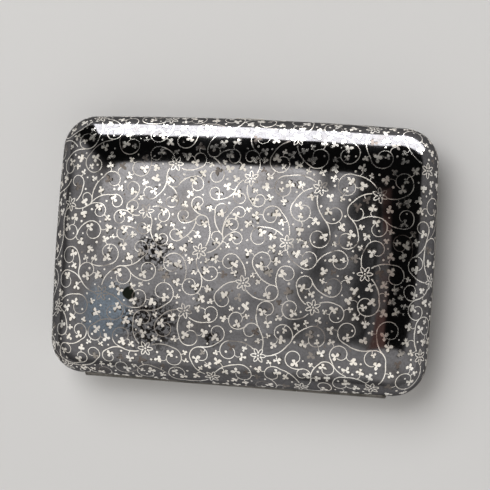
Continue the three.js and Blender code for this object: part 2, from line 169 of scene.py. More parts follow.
def add_bevel(piece, width, degrees):
    """A bevel modifier for the edges that are sharper than an angle."""
    bevel = piece.modifiers.new("edge", "BEVEL")
    bevel.width = width * MM
    bevel.segments = BEVEL_STEPS
    bevel.limit_method = "ANGLE"
    bevel.angle_limit = math.radians(degrees)


def discard(*tools):
    for tool in tools:
        bpy.data.objects.remove(tool)


def smooth(piece, degrees=30):
    take(piece)
    bpy.ops.object.shade_smooth_by_angle(angle=math.radians(degrees))
    return piece


def hand_over(piece, body, nodes=()):
    """The piece rides on its body and stands for its nodes."""
    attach(piece, body)
    if nodes:
        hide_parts(*nodes)
    faces = len(piece.data.polygons)
    print(piece.name, "rides on", body, "with", faces, "faces")
    return piece


# %% [markdown]
# ## The form of a cover
# A cover is pressed from one sheet of silver into a pillow: a flat panel, a margin that curves down like
# a quarter of an ellipse, and an upright rim at the seam. Every level of it is one outline, a rounded
# rectangle whose sides bow out a little. A grid is a good start, because its rows can be bent into these
# outlines, one row for each level, down the outside and up again on the inside of the sheet.

# %% Outline of one level
CORNER_STEPS = 22
LONG_STEPS = 40
SHORT_STEPS = 28


def corner_radius(inset):
    share = min(inset / MARGIN, 1)
    return CORNER_RADIUS + (PANEL_CORNER_RADIUS - CORNER_RADIUS) * share


def outline(inset):
    """The outline drawn in by an inset, as an array of X and Y in millimetres."""
    half_x = LENGTH / 2 - BOW_SIDE - inset
    high = WIDTH / 2 - BOW_CATCH - inset
    low = WIDTH / 2 - BOW_HINGE - inset
    radius = corner_radius(inset)
    centres = [
        (half_x - radius, high - radius),
        (radius - half_x, high - radius),
        (radius - half_x, radius - low),
        (half_x - radius, radius - low),
    ]
    points = []
    for quarter, (x, y) in enumerate(centres):
        angles = (quarter + np.arange(CORNER_STEPS) / CORNER_STEPS) * math.pi / 2
        points += [(x + radius * math.cos(a), y + radius * math.sin(a)) for a in angles]
        end = (quarter + 1) * math.pi / 2
        following = centres[(quarter + 1) % 4]
        arc_end = np.array((math.cos(end), math.sin(end))) * radius
        start_point = np.array((x, y)) + arc_end
        end_point = np.array(following) + arc_end
        steps = LONG_STEPS if quarter % 2 == 0 else SHORT_STEPS
        points += [tuple(start_point + (end_point - start_point) * s / steps) for s in range(steps)]
    flat = np.array(points)
    reach = np.where(flat[:, 1] > 0, high, low)
    bow = np.where(flat[:, 1] > 0, BOW_CATCH, BOW_HINGE)
    x = flat[:, 0] + BOW_SIDE * (flat[:, 0] / half_x) * (1 - (flat[:, 1] / reach) ** 2)
    y = flat[:, 1] + bow * (flat[:, 1] / reach) * (1 - (flat[:, 0] / half_x) ** 2)
    return np.column_stack([x, y])


AROUND = len(outline(0))
print("points round a cover", AROUND)

# %% [markdown]
# ## The section of a cover
# Seen from the end, a cover's wall follows a quarter of an ellipse from the upright rim to the flat
# panel. The levels are spread by the angle along that curve, so that rows lie close together where it
# bends most. The niello's surface lies a hundredth of a millimetre lower than the working model's cover,
# which leaves that much room for the silver of the pattern.

# %% Levels of the section
OUTER_RINGS = 28
INNER_RINGS = 14
PANEL_LIP = 0.6
PATTERN_RELIEF = 0.012
COVER_TOP = HALF - PATTERN_RELIEF


def section_levels(top, count):
    start = math.asin(RIM / top)
    return [top * math.sin(start + (math.pi / 2 - start) * i / (count - 1)) for i in range(count)]


def inset_at(level, top, wall=0.0):
    return wall + MARGIN * (1 - math.sqrt(max(0.0, 1 - (level / top) ** 2)))


def cover_rings(half):
    """Inset and height of each row, from the middle of the panel out to the rim and in again."""
    outside_levels = section_levels(COVER_TOP, OUTER_RINGS)
    inside_levels = section_levels(CAVITY_HALF, INNER_RINGS)
    outside = [(inset_at(level, COVER_TOP, PATTERN_RELIEF), level) for level in outside_levels]
    inside = [(inset_at(level, CAVITY_HALF, WALL), level) for level in inside_levels]
    outer_middle = (MARGIN + PANEL_LIP, COVER_TOP)
    inner_middle = (MARGIN + WALL + PANEL_LIP, CAVITY_HALF)
    rows = [outer_middle] + outside[::-1] + inside + [inner_middle]
    return [(inset, HALF + half * level) for inset, level in rows]


print("rows in a cover", len(cover_rings(FRONT)))

# %% [markdown]
# ## Bend a grid into a shell
# A grid has as many columns as an outline has points, and one row for each level. Its points are moved to
# their places, its first and last columns are welded, and the panels are filled as single faces. Because
# the order of the faces is known, each one gets its metal by its row.

# %% Bend a grid into a shell


def bent_grid(name, rows, closed=False):
    """A grid laid along rings of points in millimetres. Closed joins the last row to the first."""
    around = len(rows[0])
    rows = list(rows) + ([rows[0]] if closed else [])
    select_nothing()
    bpy.ops.mesh.primitive_grid_add(x_subdivisions=around, y_subdivisions=len(rows) - 1, size=1)
    piece = bpy.context.object
    piece.name = name
    places = np.zeros((len(rows), around + 1, 3))
    for index, row in enumerate(rows):
        places[index, :around] = row
        places[index, around] = row[0]
    piece.data.vertices.foreach_set("co", (places * MM).ravel())
    return weld(piece)


def close_holes(piece):
    """Fills each open edge loop and turns all faces outwards."""
    take(piece)
    bpy.ops.object.mode_set(mode="EDIT")
    bpy.ops.mesh.select_all(action="DESELECT")
    bpy.ops.mesh.select_non_manifold()
    bpy.ops.mesh.fill_holes(sides=0)
    bpy.ops.mesh.select_all(action="SELECT")
    bpy.ops.mesh.normals_make_consistent(inside=False)
    bpy.ops.object.mode_set(mode="OBJECT")
    return piece


def ring_at(inset, z):
    flat = outline(inset)
    return np.column_stack([flat, np.full(len(flat), z)])


def pressed_shell(name, half):
    """A closed shell. Material 0 is the niello, 1 the bare silver of the rim, 2 the gilt inside."""
    rows = cover_rings(half)
    shell = bent_grid(name, [ring_at(inset, z) for inset, z in rows])
    row_of_face = np.arange(len(shell.data.polygons)) // AROUND
    material = np.where(row_of_face < OUTER_RINGS - 1, 0, np.where(row_of_face <= OUTER_RINGS, 1, 2))
    shell.data.polygons.foreach_set("material_index", material.astype(np.int32))
    close_holes(shell)
    for face in shell.data.polygons:
        if len(face.vertices) > 4:
            at_panel = abs(face.center.z / MM - HALF) > (HALF + CAVITY_HALF) / 2
            face.material_index = 0 if at_panel else 2
    return shell


front_shell = pressed_shell("front_shell", FRONT)
back_shell = pressed_shell("back_shell", BACK)
print("faces in a shell", len(front_shell.data.polygons))

# %% [markdown]
# ## Keep the bare surface for the pattern
# The pattern is laid out on the surface itself, so a search tree of the outside is kept before the hinge
# and the push piece are cut into it. It answers two questions: which point of the cover is nearest, and
# which way does the cover face there.

# %% Surface to draw on


class Surface:
    """The outside of a cover in millimetres, for putting points and motifs on it."""

    def __init__(self, shell):
        mesh = shell.data
        outside = [face for face in mesh.polygons if face.material_index == 0]
        self.points = [vertex.co / MM for vertex in mesh.vertices]
        self.normals = [normal.vector.copy() for normal in mesh.vertex_normals]
        self.faces = [tuple(face.vertices) for face in outside]
        self.flat = [face.normal.copy() if len(face.vertices) > 4 else None for face in outside]
        self.tree = BVHTree.FromPolygons(self.points, self.faces)
        mesh.calc_loop_triangles()
        kept = {face.index for face in outside}
        corners = [t.vertices[:] for t in mesh.loop_triangles if t.polygon_index in kept]
        self.corners = np.array(self.points)[np.array(corners)]
        sides = np.cross(self.corners[:, 1] - self.corners[:, 0], self.corners[:, 2] - self.corners[:, 0])
        self.areas = np.linalg.norm(sides, axis=1) / 2
        self.area = self.areas.sum()

    def at(self, point):
        place, _, index, _ = self.tree.find_nearest(point)
        if self.flat[index] is not None:
            return place, self.flat[index]
        corners = self.faces[index]
        weights = poly_3d_calc([self.points[c] for c in corners], place)
        mixed = sum((self.normals[c] * w for c, w in zip(corners, weights)), Vector())
        return place, mixed.normalized()

    def scatter(self, dice, count):
        """Points spread evenly over the surface."""
        chosen = self.corners[dice.choice(len(self.areas), count, p=self.areas / self.area)]
        a, b = dice.random((2, count, 1))
        over = a + b > 1
        a, b = np.where(over, 1 - a, a), np.where(over, 1 - b, b)
        return chosen[:, 0] + a * (chosen[:, 1] - chosen[:, 0]) + b * (chosen[:, 2] - chosen[:, 0])


surfaces = {FRONT: Surface(front_shell), BACK: Surface(back_shell)}
print("area to draw on", round(surfaces[FRONT].area), "square millimetres on each cover")

# %% [markdown]
# ## Cut the hinge side and the push slot
# The tubes of the hinge lie in a round groove along the seam, and both covers are eased away behind the
# groove so that they can swing open. On the other side the rim of the back cover has a slot for the push
# piece. A cylinder, a cube and a wedge are drawn where these are and taken away with Boolean modifiers.

# %% Cutting tools
HINGE_END = 9
PLUG_THICKNESS = 0.4
GROOVE_CLEARANCE = 0.2
GROOVE_REACH = LENGTH / 2 - HINGE_END + PLUG_THICKNESS + GROOVE_CLEARANCE
RELIEF_RUN = 2.8
PUSH_SLOT_HALF = 3.35
PUSH_SLOT_BOTTOM = 2.1
PUSH_SLOT_DEPTH = 1.33
SLOT_BEYOND = 2.3


def cutter_cylinder(name, radius, reach, y, z):
    select_nothing()
    bpy.ops.mesh.primitive_cylinder_add(
        vertices=48,
        radius=radius * MM,
        depth=2 * reach * MM,
        location=(0, y * MM, z * MM),
        rotation=(0, math.pi / 2, 0),
    )
    bpy.context.object.name = name
    return apply_place(bpy.context.object)


def cutter_box(name, low, high):
    middle = [(a + b) / 2 * MM for a, b in zip(low, high)]
    select_nothing()
    bpy.ops.mesh.primitive_cube_add(size=1, location=middle)
    box = bpy.context.object
    box.name = name
    box.scale = [(b - a) * MM for a, b in zip(low, high)]
    return apply_place(box)


def cutter_wedge(name):
    """A box whose inner side is gathered onto the hinge axis."""
    wedge = cutter_box(name, (-LENGTH, HINGE_Y - RELIEF_RUN, HALF - 1), (LENGTH, HINGE_Y, HALF + 1))
    rise = RELIEF_RUN * math.tan(RELIEF_ANGLE)
    for vertex in wedge.data.vertices:
        far = vertex.co.y < (HINGE_Y - RELIEF_RUN / 2) * MM
        side = 1 if vertex.co.z > HALF * MM else -1
        vertex.co.z = (HALF + side * (rise if far else 0)) * MM
    return weld(wedge)


groove = cutter_cylinder("groove_tool", GROOVE_RADIUS, GROOVE_REACH, HINGE_Y, HALF)
relief = cutter_wedge("relief_tool")
slot_tool = cutter_box(
    "slot_tool",
    (-PUSH_SLOT_HALF, WIDTH / 2 - PUSH_SLOT_DEPTH, HALF - PUSH_SLOT_BOTTOM),
    (PUSH_SLOT_HALF, WIDTH / 2 + SLOT_BEYOND, HALF),
)
print("cutting tools", [tool.name for tool in (groove, relief, slot_tool)])

# %% [markdown]
# ## Cut the shells
# A Boolean gives the faces that it cuts the material of its tool, so the tools carry the bare silver and
# the cut edges come out as bare metal. The three metals have empty stand-ins until their finishes are
# made.

# %% Cut the shells
cut_metals = [bpy.data.materials.new(name) for name in ("cut_niello", "cut_silver", "cut_gilt")]


def give_cut_metals(piece, index=None):
    piece.data.materials.clear()
    for metal in cut_metals:
        piece.data.materials.append(metal)
    if index is not None:
        for face in piece.data.polygons:
            face.material_index = index


def cut(piece, *tools):
    for tool in tools:
        modifier = piece.modifiers.new("cut", "BOOLEAN")
        modifier.operation = "DIFFERENCE"
        modifier.solver = "EXACT"
        modifier.object = tool
    apply_modifiers(piece)
    return smooth(piece)


for tool in (groove, relief, slot_tool):
    give_cut_metals(tool, 1)
for shell in (front_shell, back_shell):
    index = [face.material_index for face in shell.data.polygons]
    give_cut_metals(shell)
    shell.data.polygons.foreach_set("material_index", index)
cut(front_shell, groove, relief)
cut(back_shell, groove, relief, slot_tool)
discard(groove, relief, slot_tool)
print("cut shells", len(front_shell.data.polygons), len(back_shell.data.polygons))

# %% [markdown]
# ## How the pattern grows
# Scrollwork of this kind is drawn from star flowers. Stems leave each star, run round in spirals that
# turn one way and then the other, and end in three-lobed leaves. To draw it evenly, the cover is first
# shared out into cells of about the same size. Stars take some cells, spirals take the rest, and each
# spiral leaves its neighbour where the two rub along each other, so a stem flows on as an S. All lengths
# here are in millimetres, and the draws are seeded, so each run gives the same pattern.

# %% Where the pattern may lie
EDGE_CLEAR = 0.8
HINGE_SIDE_CLEAR = 1.9
HINGE_SIDE_REACH = 2.6
PUSH_CLEAR = 3.0


def may_lie(half, point):
    """True where the pattern has room: clear of the seam, the eased hinge side and the push slot."""
    level = abs(point.z - HALF)
    if level < EDGE_CLEAR:
        return False
    if point.y < HINGE_Y + HINGE_SIDE_REACH and level < HINGE_SIDE_CLEAR:
        return False
    beside_push = abs(point.x) < PUSH_SLOT_HALF + EDGE_CLEAR and point.y > 0
    return not (half == BACK and beside_push and level < PUSH_CLEAR)


# %% [markdown]
# ## Share the cover out into cells
# Points thrown at random lie in clumps. Here each centre moves several times to the middle of the samples
# that are nearest to it, and after a few rounds the centres lie about as evenly as a draughtsman would
# set them. A star needs more room round it than a spiral, so the stars are chosen first, well apart.

# %% Share the cover out into cells
SAMPLES = 9000
CELL_AREA = 31
STAR_SPACING = 11.5
RELAX_ROUNDS = 5
SPIRAL_LARGEST = 2.45
SPIRAL_SMALLEST = 1.5
STEM_ROOM = 0.62


class Cell:
    """A patch of the cover, with its own flat axes, that a star or a spiral fills."""

    def __init__(self, surface, point):
        self.centre, self.normal = surface.at(point)
        helper = Vector((1, 0, 0)) if abs(self.normal.x) < 0.9 else Vector((0, 1, 0))
        self.north = self.normal.cross(helper).normalized()
        self.east = self.north.cross(self.normal)
        self.surface = surface
        self.star = False
        self.drawn = False

    def spot(self, radius, angle):
        offset = self.east * math.cos(angle) + self.north * math.sin(angle)
        return self.surface.at(self.centre + offset * radius)

    def angle_to(self, point):
        offset = point - self.centre
        return math.atan2(offset.dot(self.north), offset.dot(self.east))


def open_points(surface, half, dice):
    """Points spread evenly over the part of the cover where the pattern may lie."""
    points = surface.scatter(dice, SAMPLES)
    return np.array([p for p in points if may_lie(half, Vector(p))])


def share_out(surface, half, dice):
    """Cell centres, moved apart until each has about the same area."""
    samples = open_points(surface, half, dice)
    count = int(surface.area / CELL_AREA)
    centres = samples[dice.choice(len(samples), count, replace=False)]
    for _ in range(RELAX_ROUNDS):
        gaps = ((samples[:, None, :] - centres[None]) ** 2).sum(2)
        nearest = gaps.argmin(1)
        centres = np.array([
            samples[nearest == i].mean(0) if (nearest == i).any() else centres[i] for i in range(count)
        ])
    return [Cell(surface, Vector(p)) for p in centres]


def set_stars(cells, dice):
    chosen = []
    for index in dice.permutation(len(cells)):
        cell = cells[index]
        if all((cell.centre - other.centre).length > STAR_SPACING for other in chosen):
            cell.star = True
            chosen.append(cell)


def set_radii(cells):
    """Each spiral takes what its nearest neighbours leave, less room for a stem."""
    places = np.array([c.centre for c in cells])
    gaps = np.sqrt(((places[:, None] - places[None]) ** 2).sum(2)) + np.eye(len(cells)) * 99
    for cell, row in zip(cells, gaps):
        room = np.sort(row)[:3].mean() / 2 - STEM_ROOM
        cell.radius = min(max(room, SPIRAL_SMALLEST), SPIRAL_LARGEST)
    return gaps


# %% [markdown]
# ## Join the cells into stems
# Growth starts at the stars and goes outwards. Each spiral may feed the neighbours that it passes between
# its first and its last branching turn, and they turn the other way round. That gives the S of a real
# scroll, and stems seldom cross.

# %% Join the cells into stems
STAR_RADIUS = 1.68
STAR_TURN = math.radians(48)
BRANCH_LEAD = 0.5
JOIN_REACH = 8.2
STAR_STEMS = 3
FIRST_BRANCH = 0.7
LAST_BRANCH = 4.6
NEIGHBOURS = 7
FREE_START = 1.1


def branch_turn(parent, child):
    """How far the parent's spiral has turned when it passes the child, or None if it can't feed it."""
    turned = parent.sense * (parent.angle_to(child.centre) - parent.entry) % (2 * math.pi) - BRANCH_LEAD
    return turned if FIRST_BRANCH < turned < LAST_BRANCH else None


def join(child, sense, root):
    """A child's spiral starts at a root on its parent and turns one way."""
    child.sense = sense
    child.entry = child.angle_to(root)
    child.start = (root - child.centre).length
    child.drawn = True


def grow(cells, gaps, dice):
    """Spirals join outwards from the stars. What no stem reaches starts as a free scroll."""
    edge = []
    for index, cell in enumerate(cells):
        if cell.star:
            cell.drawn = True
            cell.sense = dice.choice([-1, 1])
            edge.append(index)
    while edge:
        index = edge.pop(0)
        parent = cells[index]
        fed = 0
        for other in np.argsort(gaps[index])[:NEIGHBOURS]:
            child = cells[other]
            if child.drawn or gaps[index][other] > JOIN_REACH or (parent.star and fed == STAR_STEMS):
                continue
            if parent.star:
                fed += 1
                angle = parent.angle_to(child.centre) - parent.sense * STAR_TURN
                join(child, parent.sense, parent.spot(STAR_RADIUS, angle)[0])
                edge.append(other)
                continue
            turned = branch_turn(parent, child)
            if turned is not None:
                root = parent.spot(spiral_radius(parent, turned), parent.entry + parent.sense * turned)[0]
                join(child, -parent.sense, root)
                edge.append(other)
    for cell in cells:
        if not cell.drawn:
            cell.sense = dice.choice([-1, 1])
            cell.entry = dice.uniform(0, 2 * math.pi)
            cell.start = cell.radius + FREE_START
            cell.drawn = True


# %% [markdown]
# ## The spiral itself
# A spiral comes in from its root to a circle round the cell's centre and then winds in towards its leaf.
# Its radius is one smooth function of how far it has turned, and each point is put on the cover's
# surface.

# %% The spiral itself
SPIRAL_TURNS = (6.3, 7.5)
ENTRY_TURN = 1.35
COIL_FROM = 3.3
COIL_DEPTH = 0.62
STEP = 0.3


def soft_step(value):
    value = min(max(value, 0.0), 1.0)
    return value * value * (3 - 2 * value)


def spiral_radius(cell, turned):
    """Drawn in quickly from the root to a circle, then wound in towards the leaf."""
    entry = max(0.0, 1 - turned / ENTRY_TURN) ** 2
    coil = 1 - COIL_DEPTH * soft_step((turned - COIL_FROM) / (cell.turns - COIL_FROM))
    return cell.radius * coil + (cell.start - cell.radius) * entry


def spiral_path(cell):
    """Points and normals along the spiral."""
    path = []
    turned = 0.0
    while turned < cell.turns:
        radius = spiral_radius(cell, turned)
        path.append(cell.spot(radius, cell.entry + cell.sense * turned))
        turned += STEP / radius
    return path


# %% [markdown]
# ## The strokes as thin silver
# On the real cover a stroke is silver that was left standing, polished flush with the niello. Here each
# stroke is a thin closed solid whose edges lie just under the niello and whose crest stands a hundredth
# of a millimetre over it, so the pattern is real geometry from every side. Its points take the cover's
# own normals, so that it shades and mirrors as one flush surface. Thousands of short pieces that follow a
# curved surface can't be pushed about by hand, so their meshes are built from points. Each point also
# keeps a tone, from bright to tarnished, which its finish reads.

# %% Collect closed solids in one mesh
CREST = 0.009
EDGE_SINK = 0.004
LEAF_CREST = 0.01
LEAF_ROOT = 0.09
LEAF_POINTS = 24
BLADE_FLAT = 0.7
# The next value is how far the painted shadows beside the leaves stand above the niello.
LEAF_SHADOW_CREST = 0.004


class Inlay:
    """Points, faces and a tone for each stroke, gathered for one cover."""

    def __init__(self):
        self.points = []
        self.normals = []
        self.faces = []
        self.tones = []

    def add(self, points, normals, faces, tones):
        first = len(self.points)
        self.points += points
        self.normals += normals
        self.faces += [tuple(first + corner for corner in face) for face in faces]
        self.tones += tones

    def ribbon(self, path, widths, tones):
        """A stroke of triangular section through points and normals of the surface."""
        if len(path) < 2:
            return
        points = []
        for index, ((place, normal), width) in enumerate(zip(path, widths)):
            before = path[max(index - 1, 0)][0]
            after = path[min(index + 1, len(path) - 1)][0]
            side = normal.cross((after - before).normalized())
            low = place - normal * EDGE_SINK
            points += [low + side * width / 2, low - side * width / 2, place + normal * CREST]
        faces = [(0, 1, 2)]
        for first in range(0, len(points) - 3, 3):
            left, right, crest = first, first + 1, first + 2
            faces += [
                (left, crest, crest + 3, left + 3),
                (crest, right, right + 3, crest + 3),
                (right, left, left + 3, right + 3),
            ]
        end = len(points) - 3
        faces.append((end, end + 2, end + 1))
        normals = [normal for _, normal in path for _ in range(3)]
        self.add(points, normals, faces, [tone for tone in tones for _ in range(3)])

    def blade(self, surface, centre, normal, ahead, rim, tone, crest=LEAF_CREST):
        """A flat motif from its rim, a list of distances ahead of and beside its centre."""
        beside = normal.cross(ahead).normalized()
        ahead = beside.cross(normal)
        count = len(rim)
        points = [centre + normal * crest, centre - normal * LEAF_ROOT]
        normals = [normal, normal]
        for share, rise in ((BLADE_FLAT, crest), (1, -EDGE_SINK)):
            for along, across in rim:
                place, facing = surface.at(centre + (ahead * along + beside * across) * share)
                points.append(place + facing * rise)
                normals.append(facing)
        faces = []
        for k in range(count):
            after = (k + 1) % count
            middle, middle_after = 2 + k, 2 + after
            edge, edge_after = 2 + count + k, 2 + count + after
            faces += [
                (0, middle, middle_after),
                (middle, edge, edge_after, middle_after),
                (1, edge_after, edge),
            ]
        self.add(points, normals, faces, [tone] * len(points))

    def finish(self, name):
        mesh = bpy.data.meshes.new(name)
        mesh.from_pydata([point * MM for point in self.points], [], self.faces)
        mesh.attributes.new("tone", "FLOAT", "POINT").data.foreach_set("value", self.tones)
        piece = bpy.data.objects.new(name, mesh)
        scene.collection.objects.link(piece)
        mesh.shade_smooth()
        mesh.normals_split_custom_set_from_vertices(self.normals)
        return piece


# %% [markdown]
# ## Leaves and dots
# A leaf has three round lobes and often a stub of stalk. Its outline is the farthest reach of these
# circles in each direction. Each lobe's place and size, and each point's reach, wander a little, because
# every leaf was cut by hand.

# %% Outlines of the motifs
LEAF_HEART = 0.2
OFFSET_RANGE = (0.9, 1.1)
RADIUS_RANGE = (0.85, 1.08)
LOBE_OFFSET = 0.62
LOBE_RADIUS = 0.42
LOBE_SPREAD = math.radians(112)
LOBE_WANDER = math.radians(7)
STALKED = 0.6
STALK_OFFSET = 0.52
STALK_RADIUS = 0.24
CUT_WANDER = 0.06


def leaf_rim(size, dice):
    """Three lobes and often a stub of stalk, each a little different, as if cut by hand."""
    rim = []
    lobes = []
    for turn in (-LOBE_SPREAD, 0, LOBE_SPREAD):
        offset = LOBE_OFFSET * dice.uniform(*OFFSET_RANGE)
        turn += dice.normal(0, LOBE_WANDER)
        lobes.append((turn, offset, LOBE_RADIUS * dice.uniform(*RADIUS_RANGE)))
    if dice.random() < STALKED:
        lobes.append((math.pi, STALK_OFFSET, STALK_RADIUS))
    for k in range(LEAF_POINTS):
        angle = 2 * math.pi * k / LEAF_POINTS
        reach = LEAF_HEART
        for turn, offset, radius in lobes:
            off = angle - turn
            root = radius ** 2 - (offset * math.sin(off)) ** 2
            if root > 0 and math.cos(off) > 0:
                reach = max(reach, offset * math.cos(off) + math.sqrt(root))
        reach *= 1 + dice.normal(0, CUT_WANDER)
        rim.append((size * reach * math.cos(angle), size * reach * math.sin(angle)))
    return rim


def round_rim(size, count=10):
    angles = [2 * math.pi * k / count for k in range(count)]
    return [(size * math.cos(angle), size * math.sin(angle)) for angle in angles]


# %% [markdown]
# ## Stars
# A star has six petals that are only outlined, so niello shows in each of them, round a silver dot. Both
# sides of a petal are strokes from its foot to its tip.

# %% Stars
STAR_TONE = 0.35
PETAL_START = 0.14
PETAL_FULLNESS = 0.8
PETALS = 6
PETAL_FOOT = 0.42
PETAL_WAIST = 0.34
PETAL_LINE = 0.27
STAR_HEART = 0.25
PETAL_STEPS = 5


def draw_star(inlay, cell, dice):
    """Outlined petals with dark hearts round a silver dot."""
    first = dice.uniform(0, 2 * math.pi)
    tone = dice.uniform(0, STAR_TONE)
    for petal in range(PETALS):
        middle = first + petal * 2 * math.pi / PETALS
        for side in (-1, 1):
            path = []
            for k in range(PETAL_STEPS + 1):
                share = k / PETAL_STEPS
                along = PETAL_FOOT + (STAR_RADIUS - PETAL_FOOT) * share
                swelling = math.sin(math.pi * min(share * (1 - PETAL_START) + PETAL_START, 1))
                across = side * PETAL_WAIST * swelling ** PETAL_FULLNESS
                path.append(cell.spot(math.hypot(along, across), middle + math.atan2(across, along)))
            inlay.ribbon(path, [PETAL_LINE] * (PETAL_STEPS + 1), [tone] * (PETAL_STEPS + 1))
    inlay.blade(cell.surface, cell.centre, cell.normal, cell.east, round_rim(STAR_HEART), tone)


# %% [markdown]
# ## What is drawn so far
# A drawing keeps every stroke and leaf that is on a cover, so that the next one finds its room. Beside
# most leaves lies a painted shadow: a ragged dark copy of the leaf's outline, slightly larger and moved
# aside, just under the silver.

# %% What is drawn so far
TARNISHED = 0.09
BRIGHT_TONES = (0, 0.4)
TARNISHED_TONES = (0.7, 1)
STROKE_SWELL = 0.13
SWELL_TURN = 0.8
# Share of leaves that get a painted shadow beside them, and how far it is moved, how large and how ragged
# it is.
SHADOWED_LEAVES = 0.75
LEAF_SHADOW_SHIFT = 0.2
LEAF_SHADOW_SIZE = 1.12
LEAF_SHADOW_RAG = 0.15


class Drawing:
    """Everything that has been drawn on one cover, so that the next motif finds its room."""

    def __init__(self, half, surface, dice):
        self.half = half
        self.surface = surface
        self.dice = dice
        self.stems = Inlay()
        self.leaves = Inlay()
        # The painted shadows beside the leaves.
        self.pits = Inlay()
        self.marks = []
        self.leaf_places = []
        self.leaf_sizes = []

    def tone(self):
        tones = TARNISHED_TONES if self.dice.random() < TARNISHED else BRIGHT_TONES
        return self.dice.uniform(*tones)

    def stroke(self, path, first_width, last_width):
        """Draws a path in runs, broken where none may lie. Its width swells as a graver's cut does."""
        steps = np.arange(len(path))
        swell = 1 + STROKE_SWELL * np.sin(steps * SWELL_TURN + self.dice.uniform(0, 2 * math.pi))
        widths = np.linspace(first_width, last_width, len(path)) * swell
        tones = np.linspace(self.tone(), self.tone(), len(path))
        run = []
        for step, width, tone in zip(path, widths, tones):
            if may_lie(self.half, step[0]):
                run.append((step, width, tone))
                self.marks.append((*step[0], width / 2))
            elif run:
                self.stems.ribbon(*zip(*run))
                run = []
        if run:
            self.stems.ribbon(*zip(*run))

    def leaf(self, place, normal, ahead, size):
        if not may_lie(self.half, place):
            return
        rim = leaf_rim(size, self.dice)
        self.leaves.blade(self.surface, place, normal, ahead, rim, self.tone())
        self.leaf_places.append(tuple(place))
        self.leaf_sizes.append(size)
        if self.dice.random() < SHADOWED_LEAVES:
            self.paint_leaf_shadow(place, normal, ahead, rim, size)

    def paint_leaf_shadow(self, place, normal, ahead, rim, size):
        """A painted shadow: a ragged dark line along one side of a leaf."""
        aside = Matrix.Rotation(self.dice.uniform(0, 2 * math.pi), 3, normal) @ ahead
        centre, normal = self.surface.at(place + aside * size * LEAF_SHADOW_SHIFT)
        wider = []
        for along, across in rim:
            share = LEAF_SHADOW_SIZE * (1 + self.dice.normal(0, LEAF_SHADOW_RAG))
            wider.append((along * share, across * share))
        self.pits.blade(self.surface, centre, normal, ahead, wider, 0, LEAF_SHADOW_CREST)

    def room(self, points):
        """Distance from each point to the nearest stem or leaf's edge, and the nearest stem's place."""
        stems = KDTree(len(self.marks))
        for index, mark in enumerate(self.marks):
            stems.insert(mark[:3], index)
        stems.balance()
        leaves = np.array(self.leaf_places)
        sizes = np.array(self.leaf_sizes)
        free = []
        nearest = []
        for point in points:
            place, index, gap = stems.find(point)
            to_leaf = (np.sqrt(((leaves - point) ** 2).sum(1)) - sizes).min()
            free.append(min(gap - self.marks[index][3], to_leaf))
            nearest.append(place)
        return np.array(free), nearest


# %% Draw the stars and the spirals
STEM_WIDTH = 0.32
STEM_TIP = 0.21
MAIN_LEAF = 1.08
LEAF_LEAST = 0.62
LEAF_GROWTH = 0.17
LEAF_SEAT = 0.42


def draw_spirals(drawing, cells):
    """A star in each star cell, and in each other cell a spiral with a leaf at its tip."""
    for cell in cells:
        if cell.star:
            draw_star(drawing.stems, cell, drawing.dice)
            drawing.leaf_places.append(tuple(cell.centre))
            drawing.leaf_sizes.append(STAR_RADIUS)
            continue
        path = spiral_path(cell)
        drawing.stroke(path, STEM_WIDTH, STEM_TIP)
        tip, normal = path[-1]
        ahead = (tip - path[-2][0]).normalized()
        size = MAIN_LEAF * min(1, LEAF_LEAST + LEAF_GROWTH * cell.radius)
        place, normal = drawing.surface.at(tip + ahead * size * LEAF_SEAT)
        drawing.leaf(place, normal, ahead, size)


# %% [markdown]
# ## Fill the gaps
# The widest gaps take the largest leaves, each with a twig to the stem beside it. Smaller gaps take
# smaller leaves, and dots fill the rest. The free distance is measured anew for each size, to the nearest
# stem and to the nearest leaf.

# %% Fill the gaps with leaves
LEAF_SIZES = ((1.02, 0.18), (0.86, 0.16), (0.68, 0.15))
TWIG_WIDTH = 0.22
TWIG_REACH = 2.1
TWIG_BEND = 0.22
TWIG_TAPER = 0.9
TWIG_INTO_LEAF = 0.3


def draw_twig(drawing, root, leaf_edge, normal):
    """A short bent stroke from a stem to a leaf."""
    span = leaf_edge - root
    bend = normal.cross(span) * drawing.dice.choice([-TWIG_BEND, TWIG_BEND])
    steps = max(3, int(span.length / STEP))
    path = []
    for k in range(steps + 1):
        share = k / steps
        path.append(drawing.surface.at(root + span * share + bend * 4 * share * (1 - share)))
    drawing.stroke(path, TWIG_WIDTH, TWIG_WIDTH * TWIG_TAPER)


def fill_with_leaves(drawing, points):
    """The largest gaps take the largest leaves. A leaf near a stem gets a twig to it."""
    for size, gap in LEAF_SIZES:
        free, nearest = drawing.room(points)
        order = np.argsort(-free)
        taken = []
        for index in order:
            if free[index] < size + gap:
                break
            point = points[index]
            if any(np.linalg.norm(point - other) < 2 * size + gap for other in taken):
                continue
            taken.append(point)
            root = nearest[index]
            place, normal = drawing.surface.at(Vector(point))
            ahead = (place - root).normalized()
            if (place - root).length > TWIG_REACH:
                angle = drawing.dice.uniform(0, 2 * math.pi)
                ahead = Matrix.Rotation(angle, 3, normal) @ ahead
            else:
                draw_twig(drawing, root, place - ahead * size * TWIG_INTO_LEAF, normal)
            drawing.leaf(place, normal, ahead, size)


# %% Fill what is left with dots
DOT_RADIUS = 0.28
DOT_RANGE = (0.75, 1.1)
DOT_POINTS = 8
DOT_GAP = 0.26
DOT_SPACING = 2.3


